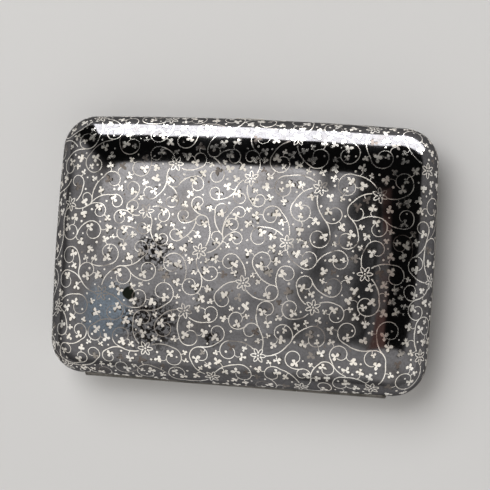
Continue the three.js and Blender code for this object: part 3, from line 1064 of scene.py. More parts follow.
def fill_with_dots(drawing, points):
    """What is still free takes small dots, kept apart."""
    free, _ = drawing.room(points)
    taken = []
    for index in drawing.dice.permutation(len(points)):
        point = points[index]
        if free[index] < DOT_RADIUS + DOT_GAP:
            continue
        if any(np.linalg.norm(point - other) < DOT_SPACING for other in taken):
            continue
        taken.append(point)
        place, normal = drawing.surface.at(Vector(point))
        ahead = normal.orthogonal().normalized()
        rim = round_rim(DOT_RADIUS * drawing.dice.uniform(*DOT_RANGE), DOT_POINTS)
        drawing.leaves.blade(drawing.surface, place, normal, ahead, rim, drawing.tone())


# %% Draw both covers
FRONT_SEED = 7
BACK_SEED = 12


def draw_cover(half, seed):
    """The pattern of one cover: a piece of stems and stars, one of leaves and dots, one of painted leaf
    shadows.
    """
    surface = surfaces[half]
    dice = np.random.default_rng(seed)
    cells = share_out(surface, half, dice)
    set_stars(cells, dice)
    gaps = set_radii(cells)
    for cell in cells:
        cell.turns = dice.uniform(*SPIRAL_TURNS)
    grow(cells, gaps, dice)
    drawing = Drawing(half, surface, dice)
    draw_spirals(drawing, cells)
    points = open_points(surface, half, dice)
    fill_with_leaves(drawing, points)
    fill_with_dots(drawing, points)
    side = "front" if half == FRONT else "back"
    stars = sum(cell.star for cell in cells)
    print(side, "cells", len(cells), "stars", stars, "leaves", len(drawing.leaf_places) - stars)
    print(side, "triangles in the leaves", sum(len(face) - 2 for face in drawing.leaves.faces))
    inlays = {"_vines": drawing.stems, "_leaves": drawing.leaves, "_leaf_shadows": drawing.pits}
    return [inlay.finish(side + name) for name, inlay in inlays.items()]


# Each cover gives its vines, its leaves and the painted shadows beside its leaves.
front_vines, front_leaves, front_leaf_shadows = draw_cover(FRONT, FRONT_SEED)
back_vines, back_leaves, back_leaf_shadows = draw_cover(BACK, BACK_SEED)
print("triangles in the front vines", sum(len(f.vertices) - 2 for f in front_vines.data.polygons))

# %% [markdown]
# ## The locating strip
# When the case shuts, the front cover slides over a thin strip that stands up inside the back cover. It
# keeps the two seams in line. It follows the inside of the covers, so it comes from the same outlines, as
# a closed band of rows, and boxes then take away its hinge side, the keeper's notch and the window for
# the shank.

# %% Locating strip
BEZEL_WALL = 0.5
BEZEL_CLEARANCE = 0.2
BEZEL_END_Y = -22.5
BEZEL_STEPS = 9
bezel_low, bezel_high = (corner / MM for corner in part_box("back_bezel"))
NOTCH_HALF = 3.2
NOTCH_FLOOR = 8.4
NOTCH_DEPTH = 4.0
WINDOW_HALF = 1.3
WINDOW_BOTTOM = 6.5
WINDOW_TOP = 7.9


def strip_ring(z, extra):
    return ring_at(inset_at(abs(z - HALF), CAVITY_HALF, WALL) + extra, z)


heights = np.linspace(bezel_low.z, bezel_high.z, BEZEL_STEPS)
outer_rows = [strip_ring(z, BEZEL_CLEARANCE) for z in heights]
inner_rows = [strip_ring(z, BEZEL_CLEARANCE + BEZEL_WALL) for z in heights[::-1]]
bezel = close_holes(bent_grid("locating_strip", outer_rows + inner_rows, closed=True))
notch_y = WIDTH / 2 - NOTCH_DEPTH
bezel_tools = [
    cutter_box("hinge_side", (-LENGTH, -WIDTH, 0), (LENGTH, BEZEL_END_Y, THICKNESS)),
    cutter_box("notch", (-NOTCH_HALF, notch_y, NOTCH_FLOOR), (NOTCH_HALF, WIDTH, THICKNESS)),
    cutter_box("window", (-WINDOW_HALF, notch_y, WINDOW_BOTTOM), (WINDOW_HALF, WIDTH, WINDOW_TOP)),
]
cut(bezel, *bezel_tools)
discard(*bezel_tools)
print("locating strip from", round(bezel_low.z, 2), "to", round(bezel_high.z, 2), "mm")

# %% [markdown]
# ## The hinge
# A tube hinge is drawn tube, sawn into knuckles that are soldered to each half in turn, with a wire pin
# through all of them and a plug soldered in at each end. All of these are turned shapes. A narrow outline
# is drawn beside the hinge axis and spun round it, and the seven knuckles are copies of one.

# %% Turn an outline round an axis along X
TURN_STEPS = 40


def turned(name, outline_points, y, z, axis=(1, 0, 0), steps=TURN_STEPS):
    """Spins points given as (along, radius) in millimetres round an axis through (0, y, z)."""
    along = Vector(axis)
    out = Vector((0, 0, 1))
    centre = Vector((0, y, z))
    mesh = bpy.data.meshes.new(name)
    places = [(centre + along * a + out * r) * MM for a, r in outline_points]
    closed = outline_points[0][1] > 0
    edges = [(k, k + 1) for k in range(len(places) - 1)] + ([(len(places) - 1, 0)] if closed else [])
    mesh.from_pydata(places, edges, [])
    piece = bpy.data.objects.new(name, mesh)
    scene.collection.objects.link(piece)
    take(piece)
    bpy.ops.object.mode_set(mode="EDIT")
    bpy.ops.mesh.select_all(action="SELECT")
    bpy.ops.mesh.spin(steps=steps, angle=2 * math.pi, center=centre * MM, axis=along)
    bpy.ops.object.mode_set(mode="OBJECT")
    return smooth(weld(piece, outwards=True))


def copy_along(piece, name, shift):
    twin = piece.copy()
    twin.data = piece.data.copy()
    twin.name = name
    twin.data.transform(Matrix.Translation(Vector(shift) * MM))
    scene.collection.objects.link(twin)
    return twin


# %% [markdown]
# ## Knuckles, pin and plugs
# One knuckle is turned with its bore and its two broken edges, and copied along the axis with a small
# gap. Each copy has its own mesh, because the knuckles ride on different halves. A plug's outline is a
# shallow dome.

# %% Knuckles, pin and plugs
KNUCKLES = 7
KNUCKLE_RADIUS = 1.1
KNUCKLE_BORE = 0.55
KNUCKLE_GAP = 0.1
KNUCKLE_EDGE = 0.07
PIN_RADIUS = 0.45
hinge_length = LENGTH - 2 * HINGE_END
pitch = (hinge_length + KNUCKLE_GAP) / KNUCKLES
knuckle_length = pitch - KNUCKLE_GAP
knuckle_outline = [
    (0, KNUCKLE_BORE),
    (0, KNUCKLE_RADIUS - KNUCKLE_EDGE),
    (KNUCKLE_EDGE, KNUCKLE_RADIUS),
    (knuckle_length - KNUCKLE_EDGE, KNUCKLE_RADIUS),
    (knuckle_length, KNUCKLE_RADIUS - KNUCKLE_EDGE),
    (knuckle_length, KNUCKLE_BORE),
]
first_knuckle = turned("knuckle_1", knuckle_outline, HINGE_Y, HALF)
first_knuckle.data.transform(Matrix.Translation((-hinge_length / 2 * MM, 0, 0)))
knuckles = [first_knuckle]
knuckles += [copy_along(first_knuckle, f"knuckle_{k + 1}", (k * pitch, 0, 0)) for k in range(1, KNUCKLES)]

half_pin = hinge_length / 2
pin_outline = [(-half_pin, 0), (-half_pin, PIN_RADIUS), (half_pin, PIN_RADIUS), (half_pin, 0)]
pin = turned("pin", pin_outline, HINGE_Y, HALF)

PLUG_OUTLINE = [(0, 0), (0, 1.1), (0.16, 1.1), (0.25, 1.02), (0.34, 0.77), (0.385, 0.4), (0.4, 0)]
PLUG_SEAT = 0.05
plugs = []
for side, name in ((-1, "plug_left"), (1, "plug_right")):
    start = side * (hinge_length / 2 + PLUG_SEAT)
    plugs.append(turned(name, [(start + side * a, r) for a, r in PLUG_OUTLINE], HINGE_Y, HALF))
print("knuckles", len(knuckles), "each", round(knuckle_length, 2), "mm long")

# %% [markdown]
# ## Small soldered and filed pieces
# The bearers, the keeper, the spring's block and the collar are filed from strip, so their forms are
# already right in the working model and only their edges are too sharp. A copy of each is merged into one
# skin, its flat faces are joined up, and a fine bevel breaks the edges as a file would.

# %% Break the edges of a copy
NODE_WELD = 0.002
SHARP_ANGLE = 35
BEARER_EDGE = 0.06
FILED_EDGE = 0.08
COLLAR_EDGE = 0.05


def eased_copy(node, name, width):
    """A copy of a node of the working model with its edges broken by a bevel."""
    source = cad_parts[node]
    piece = source.copy()
    piece.data = source.data.copy()
    piece.name = name
    for key in list(piece.keys()):
        del piece[key]
    piece.parent = None
    scene.collection.objects.link(piece)
    weld(piece, NODE_WELD)
    bpy.ops.object.mode_set(mode="EDIT")
    bpy.ops.mesh.select_all(action="SELECT")
    bpy.ops.mesh.dissolve_limited(angle_limit=math.radians(1))
    bpy.ops.object.mode_set(mode="OBJECT")
    add_bevel(piece, width, SHARP_ANGLE)
    apply_modifiers(piece)
    return smooth(piece)


back_bearer = eased_copy("back_joint_bearer", "back_bearer", BEARER_EDGE)
front_bearer = eased_copy("front_joint_bearer", "front_bearer", BEARER_EDGE)
keeper_bar = eased_copy("keeper", "keeper_bar", FILED_EDGE)
block = eased_copy("spring_block", "block", FILED_EDGE)
collar = eased_copy("push_piece_collar", "collar", COLLAR_EDGE)
print("eased copies", [p.name for p in (back_bearer, front_bearer, keeper_bar, block, collar)])

# %% [markdown]
# ## Push piece
# The push piece is a small filed block with rounded ends and fine grooves for the fingertip, on a flat
# shank that passes through the locating strip. It starts as a box. Its upright edges get a large bevel,
# the others a small one, and every second strip of its face is pushed in a little to make the grooves.

# %% Push piece
PUSH_ROUNDING = 0.6
ROUNDING_STEPS = 6
GROOVE_EDGE = 0.035
GROOVE_EDGE_ANGLE = 40
SHANK_EDGE = 0.06
PUSH_GROOVES = 9
PUSH_GROOVE_DEPTH = 0.09
SHANK_HALF_X = 1.1
SHANK_HALF_Z = 0.5
SHANK_Z = 7.2
push_low, push_high = (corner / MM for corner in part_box("push_piece"))
HEAD_HALF = push_high.x
HEAD_TOP = push_high.z
HEAD_HEIGHT = 1.7
HEAD_BOTTOM = HEAD_TOP - HEAD_HEIGHT
HEAD_BACK = 28.7


def bevel_edges(piece, width, segments, chosen):
    """Bevels the edges whose middle and direction the test chooses."""
    take(piece)
    weights = piece.data.attributes.get("bevel_weight_edge") or piece.data.attributes.new(
        "bevel_weight_edge", "FLOAT", "EDGE"
    )
    for edge in piece.data.edges:
        a, b = (piece.data.vertices[v].co / MM for v in edge.vertices)
        weights.data[edge.index].value = 1.0 if chosen((a + b) / 2, (b - a).normalized()) else 0.0
    bevel = piece.modifiers.new("edge", "BEVEL")
    bevel.width = width * MM
    bevel.segments = segments
    bevel.limit_method = "WEIGHT"
    apply_modifiers(piece)
    return piece


head = cutter_box("push_head", (-HEAD_HALF, HEAD_BACK, HEAD_BOTTOM), (HEAD_HALF, push_high.y, HEAD_TOP))
bevel_edges(head, PUSH_ROUNDING, ROUNDING_STEPS, lambda middle, way: abs(way.y) > 0.9)
groove_pitch = 2 * (HEAD_HALF - PUSH_ROUNDING) / PUSH_GROOVES
groove_tools = []
for k in range(PUSH_GROOVES):
    x = -HEAD_HALF + PUSH_ROUNDING + groove_pitch * (k + 0.5)
    low = (x - groove_pitch / 4, push_high.y - PUSH_GROOVE_DEPTH, HEAD_BOTTOM - 1)
    groove_tools.append(cutter_box("groove", low, (x + groove_pitch / 4, push_high.y + 1, HEAD_TOP + 1)))
cut(head, *groove_tools)
discard(*groove_tools)
add_bevel(head, GROOVE_EDGE, GROOVE_EDGE_ANGLE)
apply_modifiers(head)
shank_low = (-SHANK_HALF_X, push_low.y, SHANK_Z - SHANK_HALF_Z)
shank = cutter_box("shank", shank_low, (SHANK_HALF_X, HEAD_BACK + 0.1, SHANK_Z + SHANK_HALF_Z))
bevel_edges(shank, SHANK_EDGE, BEVEL_STEPS, lambda middle, way: True)
take(head)
shank.select_set(True)
bpy.ops.object.join()
head.name = "push_button"
smooth(head)
print("push piece", len(head.data.polygons), "faces,", PUSH_GROOVES, "grooves")

# %% [markdown]
# ## Spring and rivets
# The catch spring is a strip of hardened steel. One end is riveted to a block, and a hook in its middle
# holds the keeper. When the push piece comes in, the free end bends inwards. The strip is cut across into
# short lengths.

# %% Spring and rivets
SPRING_CUTS = 30
SPRING_EDGE = 0.03
RIVET_STEPS = 28
spring = eased_copy("catch_spring", "spring_strip", SPRING_EDGE)
spring_low, spring_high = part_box("catch_spring")
take(spring)
bpy.ops.object.mode_set(mode="EDIT")
for k in range(1, SPRING_CUTS):
    bpy.ops.mesh.select_all(action="SELECT")
    x = spring_low.x + (spring_high.x - spring_low.x) * k / SPRING_CUTS
    bpy.ops.mesh.bisect(plane_co=(x, 0, 0), plane_no=(1, 0, 0))
bpy.ops.object.mode_set(mode="OBJECT")
smooth(spring)

rivet_boxes = [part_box(f"spring_rivet_{k}") for k in (1, 2)]
RIVET_OUTLINE = [(0, 0), (0.03, 0.25), (0.1, 0.45), (0.22, 0.6), (0.29, 0.65), (0.35, 0.65), (0.35, 0.4)]
rivets = []
for number, (low, high) in enumerate(rivet_boxes):
    middle = (low + high) / 2 / MM
    points = [(low.y / MM + a, r) for a, r in RIVET_OUTLINE] + [(high.y / MM, 0.4), (high.y / MM, 0)]
    rivet = turned(f"rivet_{number + 1}", points, 0, middle.z, axis=(0, 1, 0), steps=RIVET_STEPS)
    rivet.data.transform(Matrix.Translation((middle.x * MM, 0, 0)))
    rivets.append(rivet)
print("spring", len(spring.data.polygons), "faces, rivets", len(rivets))

# %% [markdown]
# ## Elastic bands and their wire loops
# One band in each half holds the row of cigarettes down. It is a woven elastic strap, folded round the
# bar of a small wire loop at each end and sewn down. A flat strap is drawn as its path seen from the
# side, which is swept across the strap's width, and then given its thickness. The wire is a curve with a
# round section.

# %% A band
BAND_HALF_WIDTH = 3
STRAP_THICKNESS = 0.5
FOLD_RADIUS = 0.78
TAIL_LENGTH = 3.4
NECK_LENGTH = 1.5
TAIL_GAP = 0.06
TAIL_BACK = 0.4
NECK_BACK = 0.3
NECK_START = 0.15
FOLD_TURN = math.radians(80)
STRAIGHT_INSET = 0.8
STRAP_COLUMNS = 12
STRAP_EDGE = 0.12
STRAP_EDGE_ANGLE = 50
STRAP_SMOOTH = 40
BAR_FROM_END = 1.1


def band_path(level_z, towards):
    """Y and Z along the strap: a sewn tail, round one bar, across, round the other bar, and a tail."""
    half_path = []
    tail_rise = STRAP_THICKNESS + TAIL_GAP
    for share in np.linspace(0, 1, 8):
        y = band_reach - FOLD_RADIUS * TAIL_BACK - TAIL_LENGTH * (1 - share)
        half_path.append((y, tail_rise + (FOLD_RADIUS - tail_rise) * soft_step(share)))
    for angle in np.linspace(FOLD_TURN, -FOLD_TURN, 15):
        half_path.append((band_reach + FOLD_RADIUS * math.cos(angle), FOLD_RADIUS * math.sin(angle)))
    for share in np.linspace(NECK_START, 1, 7):
        y = band_reach - FOLD_RADIUS * NECK_BACK - NECK_LENGTH * share
        half_path.append((y, -FOLD_RADIUS * (1 - soft_step(share))))
    last = half_path[-1][0] - STRAIGHT_INSET
    straight = [(y, 0.0) for y in np.linspace(last, -last, 30)]
    mirrored = [(-y, z) for y, z in half_path[::-1]]
    return [(y, level_z + towards * z) for y, z in half_path + straight + mirrored]


def make_band(name, node, towards):
    """Towards is the way to the open side of the cover, up or down."""
    low, high = (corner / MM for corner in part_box(node))
    path = band_path((low.z + high.z) / 2, towards)
    columns = np.linspace(-BAND_HALF_WIDTH, BAND_HALF_WIDTH, STRAP_COLUMNS + 1)
    select_nothing()
    bpy.ops.mesh.primitive_grid_add(x_subdivisions=STRAP_COLUMNS, y_subdivisions=len(path) - 1, size=1)
    band = bpy.context.object
    band.name = name
    places = np.array([[(x, y, z) for x in columns] for y, z in path])
    band.data.vertices.foreach_set("co", (places * MM).ravel())
    solid = band.modifiers.new("thickness", "SOLIDIFY")
    solid.thickness = STRAP_THICKNESS * MM
    solid.offset = 0
    add_bevel(band, STRAP_EDGE, STRAP_EDGE_ANGLE)
    apply_modifiers(band)
    return smooth(band, STRAP_SMOOTH)


band_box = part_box("back_band")
band_reach = band_box[1].y / MM - BAR_FROM_END
bands = [make_band("back_strap", "back_band", 1), make_band("front_strap", "front_band", -1)]
print("bands reach", round(band_reach, 2), "mm to each side")

# %% [markdown]
# ## Wire loops
# Each end of a band is held by a small loop of round wire that is soldered to the inside of the cover. It
# is drawn as a line with two bends, which Blender's curve turns into a closed round wire.

# %% Wire loops
WIRE_RADIUS = 0.35
WIRE_BEND = 0.75
WIRE_SMOOTH = 50


def wire_loop(name, node):
    """A bar between two legs, bent from round wire. The legs stand on the inside of the cover."""
    low, high = (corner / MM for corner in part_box(node))
    front = low.z > HALF
    bar_z = (low.z + WIRE_RADIUS) if front else (high.z - WIRE_RADIUS)
    foot_z = high.z if front else low.z
    y = (low.y + high.y) / 2
    leg_x = high.x - WIRE_RADIUS
    way = 1 if front else -1
    points = [(-leg_x, foot_z), (-leg_x, bar_z + way * WIRE_BEND)]
    for angle in np.linspace(0, math.pi / 2, 7):
        x = -leg_x + WIRE_BEND * (1 - math.cos(angle))
        points.append((x, bar_z + way * WIRE_BEND * (1 - math.sin(angle))))
    points += [(-x, z) for x, z in points[::-1]]
    curve = bpy.data.curves.new(name, "CURVE")
    curve.dimensions = "3D"
    curve.bevel_depth = WIRE_RADIUS * MM
    curve.bevel_resolution = 5
    curve.use_fill_caps = True
    line = curve.splines.new("POLY")
    line.points.add(len(points) - 1)
    for spot, (x, z) in zip(line.points, points):
        spot.co = (x * MM, y * MM, z * MM, 1)
    piece = bpy.data.objects.new(name, curve)
    scene.collection.objects.link(piece)
    take(piece)
    bpy.ops.object.convert(target="MESH")
    return smooth(weld(piece, outwards=True), WIRE_SMOOTH)


loops = {}
for side in ("back", "front"):
    for end in ("hinge", "catch"):
        loops[side, end] = wire_loop(f"{side}_wire_{end}", f"{side}_band_loop_{end}")
print("wire loops", len(loops))

# %% [markdown]
# ## Finishes
# Each finish is a small node tree that reads Object coordinates, so it stays put on its piece. What
# several finishes share is a node group that gives a mask or a height: clouds of tarnish, fine scratches,
# the gentle unevenness of pressed sheet, and ragged spots at a chosen place.

# %% Helpers for node trees


def wire(tree, source, target):
    tree.links.new(source, target)


def new_node(tree, kind, **settings):
    node = tree.nodes.new(kind)
    for name, value in settings.items():
        setattr(node, name, value)
    return node


def feed(tree, socket, value):
    """Gives a socket a value, whether it is a number, a colour or another socket."""
    if isinstance(value, (int, float)):
        socket.default_value = value
    elif isinstance(value, tuple):
        socket.default_value = (*value, 1) if len(socket.default_value) == 4 else value
    else:
        wire(tree, value, socket)


def new_finish(name):
    finish = bpy.data.materials.new(name)
    finish.use_nodes = True
    tree = finish.node_tree
    tree.nodes.clear()
    shader = new_node(tree, "ShaderNodeBsdfPrincipled")
    output = new_node(tree, "ShaderNodeOutputMaterial")
    wire(tree, shader.outputs[0], output.inputs[0])
    return finish, tree, shader


def ramp(tree, source, low, high, to_low=0.0, to_high=1.0):
    """Maps a value softly from one span to another."""
    node = new_node(tree, "ShaderNodeMapRange", interpolation_type="SMOOTHSTEP")
    names = ("Value", "From Min", "From Max", "To Min", "To Max")
    for name, value in zip(names, (source, low, high, to_low, to_high)):
        feed(tree, node.inputs[name], value)
    return node.outputs["Result"]


def calculate(tree, kind, first, second=0.0):
    node = new_node(tree, "ShaderNodeMath", operation=kind)
    feed(tree, node.inputs[0], first)
    feed(tree, node.inputs[1], second)
    return node.outputs[0]


def product(tree, first, *others):
    for value in others:
        first = calculate(tree, "MULTIPLY", first, value)
    return first


def largest(tree, first, *others):
    for value in others:
        first = calculate(tree, "MAXIMUM", first, value)
    return first


def mix(tree, share, first, second):
    """Mixes two colours, given as sockets or as tuples."""
    node = new_node(tree, "ShaderNodeMix", data_type="RGBA")
    for socket, value in zip((node.inputs[0], node.inputs[6], node.inputs[7]), (share, first, second)):
        feed(tree, socket, value)
    return node.outputs[2]


def noise(tree, place, scale, detail=4.0, roughness=0.55):
    node = new_node(tree, "ShaderNodeTexNoise")
    for name, value in zip(("Vector", "Scale", "Detail", "Roughness"), (place, scale, detail, roughness)):
        feed(tree, node.inputs[name], value)
    return node.outputs["Fac"]


def stretched(tree, place, turn, scale):
    node = new_node(tree, "ShaderNodeMapping")
    node.inputs["Rotation"].default_value = turn
    node.inputs["Scale"].default_value = scale
    wire(tree, place, node.inputs["Vector"])
    return node.outputs["Vector"]


def object_coordinates(tree):
    return new_node(tree, "ShaderNodeTexCoord").outputs["Object"]


def split_axes(tree, place):
    node = new_node(tree, "ShaderNodeSeparateXYZ")
    wire(tree, place, node.inputs[0])
    return node.outputs


def relief_from(tree, height, shader, distance, strength=1.0):
    bump = new_node(tree, "ShaderNodeBump")
    bump.inputs["Strength"].default_value = strength
    bump.inputs["Distance"].default_value = distance
    wire(tree, height, bump.inputs["Height"])
    wire(tree, bump.outputs["Normal"], shader.inputs["Normal"])


def new_group(name, inputs, output):
    """An empty node group. Inputs are pairs of a name and a first value, and a vector has None."""
    group = bpy.data.node_groups.new(name, "ShaderNodeTree")
    for label, value in inputs:
        kind = "NodeSocketVector" if value is None else "NodeSocketFloat"
        socket = group.interface.new_socket(label, in_out="INPUT", socket_type=kind)
        if value is not None:
            socket.default_value = value
    group.interface.new_socket(output, in_out="OUTPUT", socket_type="NodeSocketFloat")
    return group, new_node(group, "NodeGroupInput"), new_node(group, "NodeGroupOutput")


def use(tree, group, **values):
    """Places a node group in a tree and returns its one output."""
    node = new_node(tree, "ShaderNodeGroup", node_tree=group)
    for name, value in values.items():
        feed(tree, node.inputs[name], value)
    return node.outputs[0]


# %% [markdown]
# ## Shared node groups
# The clouds are noise cut softly between two values. The scratches are noise stretched into long thin
# lines in three directions, of which only the crests are kept. The sheet's height is broad dents with a
# trace of grain. A spot is the distance from its centre with noise added, so its edge is ragged.

# %% Node groups that finishes share
clouds, given, wanted = new_group(
    "clouds", [("Place", None), ("Scale", 300), ("Low", 0.35), ("High", 0.65)], "Mask"
)
cloud = noise(clouds, given.outputs["Place"], given.outputs["Scale"])
wire(clouds, ramp(clouds, cloud, given.outputs["Low"], given.outputs["High"]), wanted.inputs[0])

SCRATCH_SCALE = (60, 9000, 60)
SCRATCH_TURNS = (0.4, 1.3, 2.5)
SCRATCH_CREST = 0.9
scratches, given, wanted = new_group("fine_scratches", [("Place", None), ("Amount", 0.5)], "Mask")
threshold = ramp(scratches, given.outputs["Amount"], 0, 1, 0.82, 0.6)
lines = []
for turn in SCRATCH_TURNS:
    run = stretched(scratches, given.outputs["Place"], (0, 0, turn), SCRATCH_SCALE)
    lines.append(ramp(scratches, noise(scratches, run, 1.0, 1.0), threshold, SCRATCH_CREST))
wire(scratches, largest(scratches, *lines), wanted.inputs[0])

DENT_SCALE = 130
GRAIN_SCALE = 2400
GRAIN_SHARE = 0.012
dents, given, wanted = new_group("uneven_sheet", [("Place", None)], "Height")
dent = noise(dents, given.outputs["Place"], DENT_SCALE, 1.0, 0.3)
grain = noise(dents, given.outputs["Place"], GRAIN_SCALE, 3.0)
wire(dents, calculate(dents, "ADD", dent, product(dents, grain, GRAIN_SHARE)), wanted.inputs[0])

SPOT_RAG = 0.9
RAG_SCALE = 420
spot, given, wanted = new_group(
    "spot", [("Place", None), ("Centre", None), ("Radius", 0.002), ("Edge", 0.3)], "Mask"
)
gap = new_node(spot, "ShaderNodeVectorMath", operation="DISTANCE")
wire(spot, given.outputs["Place"], gap.inputs[0])
wire(spot, given.outputs["Centre"], gap.inputs[1])
rag = calculate(spot, "SUBTRACT", noise(spot, given.outputs["Place"], RAG_SCALE, 5.0), 0.5)
far = calculate(spot, "DIVIDE", gap.outputs["Value"], given.outputs["Radius"])
far = calculate(spot, "ADD", far, product(spot, rag, SPOT_RAG))
inner = calculate(spot, "SUBTRACT", 1.0, given.outputs["Edge"])
outer = calculate(spot, "ADD", 1.0, given.outputs["Edge"])
wire(spot, ramp(spot, far, inner, outer, 1, 0), wanted.inputs[0])
print("node groups", [group.name for group in bpy.data.node_groups])

# %% [markdown]
# ## Niello and the silver in it
# Polished niello is a dark mirror, blue-grey where it is thin and brownish where it has aged. On the
# front it has lost its polish in a few places on the left, where it is pitted and almost black. A small
# chip and a bluish patch show beside them. The silver there is tarnished as well, so both finishes read
# the same spots. On the flat panel the silver is duller than on the margin, most of all on the side where
# the hand holds it, and some vines are rubbed so thin that they nearly vanish. The wider leaves keep more
# of their silver, so vines and leaves are two finishes from one recipe.

# %% Niello and pattern silver
CHIP = (-22.2, -10.4)
CHIP_RADIUS = 1.35
PITTED = ((-17.2, -16.6, 5.8), (-17.4, -1.0, 3.4), (-3.4, -19.0, 1.7))
BLUE_PATCH = (-27.0, -14.5)
BLUE_RADIUS = 5.5
BLUE_REACH = 1.3
NIELLO_THICK = (0.137, 0.135, 0.142)
NIELLO_THIN = (0.168, 0.165, 0.173)
NIELLO_AGED = (0.115, 0.1, 0.09)
NIELLO_BLUE = (0.13, 0.175, 0.225)
NIELLO_GRAIN = (0.072, 0.07, 0.072)
NIELLO_EDGE = (0.45, 0.45, 0.45, 1)
PITTED_BLACK = (0.02, 0.018, 0.017)
CHIP_BLACK = (0.02, 0.024, 0.018)
SILVER_CLEAR = (0.94, 0.915, 0.87)
SILVER_WARM = (0.9, 0.85, 0.775)
SILVER_HANDLED = (0.68, 0.645, 0.6)
SILVER_TARNISH = (0.13, 0.11, 0.1)
# Colours of the painted shadows beside the leaves: near black, mottled with brown.
LEAF_SHADOW_DARK = (0.012, 0.011, 0.01)
LEAF_SHADOW_BROWN = (0.07, 0.06, 0.05)
PANEL_LEVELS = (8.1 * MM, 8.4 * MM)
HANDLED_SPAN = (-7 * MM, 9 * MM)
SHEET_RELIEF = 0.00012


def spot_mask(tree, place, x, y, radius, edge):
    centre = (x * MM, y * MM, THICKNESS * MM)
    return use(tree, spot, Place=place, Centre=centre, Radius=radius * MM, Edge=edge)


def worn_masks(tree, place):
    """Masks of the chip and of the pitted places."""
    chip = spot_mask(tree, place, *CHIP, CHIP_RADIUS, 0.12)
    pitted = [spot_mask(tree, place, *where, 0.5) for where in PITTED]
    return chip, largest(tree, *pitted)


def niello_finish():
    finish, tree, shader = new_finish("niello")
    place = object_coordinates(tree)
    chip, pitted = worn_masks(tree, place)
    thin = use(tree, clouds, Place=place, Scale=75, Low=0.4, High=0.7)
    colour = mix(tree, thin, NIELLO_THICK, NIELLO_THIN)
    aside = stretched(tree, place, (0, 0, 1), (1, 1, 1))
    aged = use(tree, clouds, Place=aside, Scale=140, Low=0.52, High=0.75)
    colour = mix(tree, product(tree, aged, 0.5), colour, NIELLO_AGED)
    blue = spot_mask(tree, place, *BLUE_PATCH, BLUE_RADIUS, 0.4)
    colour = mix(tree, product(tree, blue, 0.7), colour, NIELLO_BLUE)
    grain = use(tree, clouds, Place=place, Scale=2600, Low=0.4, High=0.65)
    colour = mix(tree, product(tree, grain, 0.5), colour, NIELLO_GRAIN)
    specks = use(tree, clouds, Place=place, Scale=1300, Low=0.44, High=0.54)
    pits = product(tree, pitted, specks)
    colour = mix(tree, pits, colour, PITTED_BLACK)
    colour = mix(tree, chip, colour, CHIP_BLACK)
    wire(tree, colour, shader.inputs["Base Color"])
    shader.inputs["Metallic"].default_value = 1
    shader.inputs["Specular Tint"].default_value = NIELLO_EDGE
    lines = use(tree, scratches, Place=place, Amount=0.4)
    polish = calculate(tree, "ADD", ramp(tree, thin, 0, 1, 0.09, 0.14), product(tree, lines, 0.12))
    roughness = largest(tree, polish, product(tree, pits, 0.6), product(tree, chip, 0.6))
    wire(tree, roughness, shader.inputs["Roughness"])
    relief_from(tree, use(tree, dents, Place=place), shader, SHEET_RELIEF)
    return finish


def pattern_finish(name, blue_wear, pitted_wear, rubbed):
    """Silver of the pattern, with how dull the blue patch, the pitted places and clouds make it."""
    finish, tree, shader = new_finish(name)
    place = object_coordinates(tree)
    chip, pitted = worn_masks(tree, place)
    _, y, z = split_axes(tree, place)
    height = calculate(tree, "ABSOLUTE", calculate(tree, "SUBTRACT", z, HALF * MM))
    panel = ramp(tree, height, *PANEL_LEVELS)
    patchy = use(tree, clouds, Place=place, Scale=260, Low=0.3, High=0.7)
    silver = mix(tree, patchy, SILVER_CLEAR, SILVER_WARM)
    handled = product(tree, panel, ramp(tree, y, *HANDLED_SPAN, 1, 0))
    silver = mix(tree, handled, silver, SILVER_HANDLED)
    faint = use(tree, clouds, Place=place, Scale=170, Low=0.5, High=0.64)
    dulled = largest(
        tree,
        new_node(tree, "ShaderNodeAttribute", attribute_name="tone").outputs["Fac"],
        product(tree, pitted, pitted_wear),
        product(tree, spot_mask(tree, place, *BLUE_PATCH, BLUE_RADIUS * BLUE_REACH, 0.3), blue_wear),
        chip,
        product(tree, panel, faint, rubbed),
    )
    colour = mix(tree, ramp(tree, dulled, 0.25, 1.0), silver, SILVER_TARNISH)
    wire(tree, colour, shader.inputs["Base Color"])
    shader.inputs["Metallic"].default_value = 1
    wire(tree, ramp(tree, patchy, 0, 1, 0.22, 0.32), shader.inputs["Roughness"])
    return finish


# The finish of the painted shadows beside the leaves, near black with brown mottling.
def leaf_shadow_finish():
    finish, tree, shader = new_finish("painted_leaf_shadow")
    shadow_mottle = use(tree, clouds, Place=object_coordinates(tree), Scale=1500, Low=0.4, High=0.65)
    wire(tree, mix(tree, shadow_mottle, LEAF_SHADOW_DARK, LEAF_SHADOW_BROWN), shader.inputs["Base Color"])
    wire(tree, ramp(tree, shadow_mottle, 0, 1, 0.6, 0.4), shader.inputs["Roughness"])
    return finish


niello = niello_finish()
vine_silver = pattern_finish("vine_silver", 0.8, 0.75, 0.8)
leaf_silver = pattern_finish("leaf_silver", 0.35, 0.5, 0.45)
painted_leaf_shadow = leaf_shadow_finish()
print("finishes", [finish.name for finish in (niello, vine_silver, leaf_silver, painted_leaf_shadow)])

# %% [markdown]
# ## Plain metals and elastic
# The rims and the push piece are plain silver that has darkened a little where fingers don't rub it. The
# hinge's silver is painted nearly black, as painted shade along the hinge side. The inside is washed with
# gold, which is thin, so paler silver shows through it here and there. The pin, the rivets and the spring
# are steel. The elastic is woven, and its ribs run along the strap, with painted shade in the grooves
# between them.

# %% Plain metals
METAL_RELIEF = 0.00006
GILT_RELIEF = 0.000008


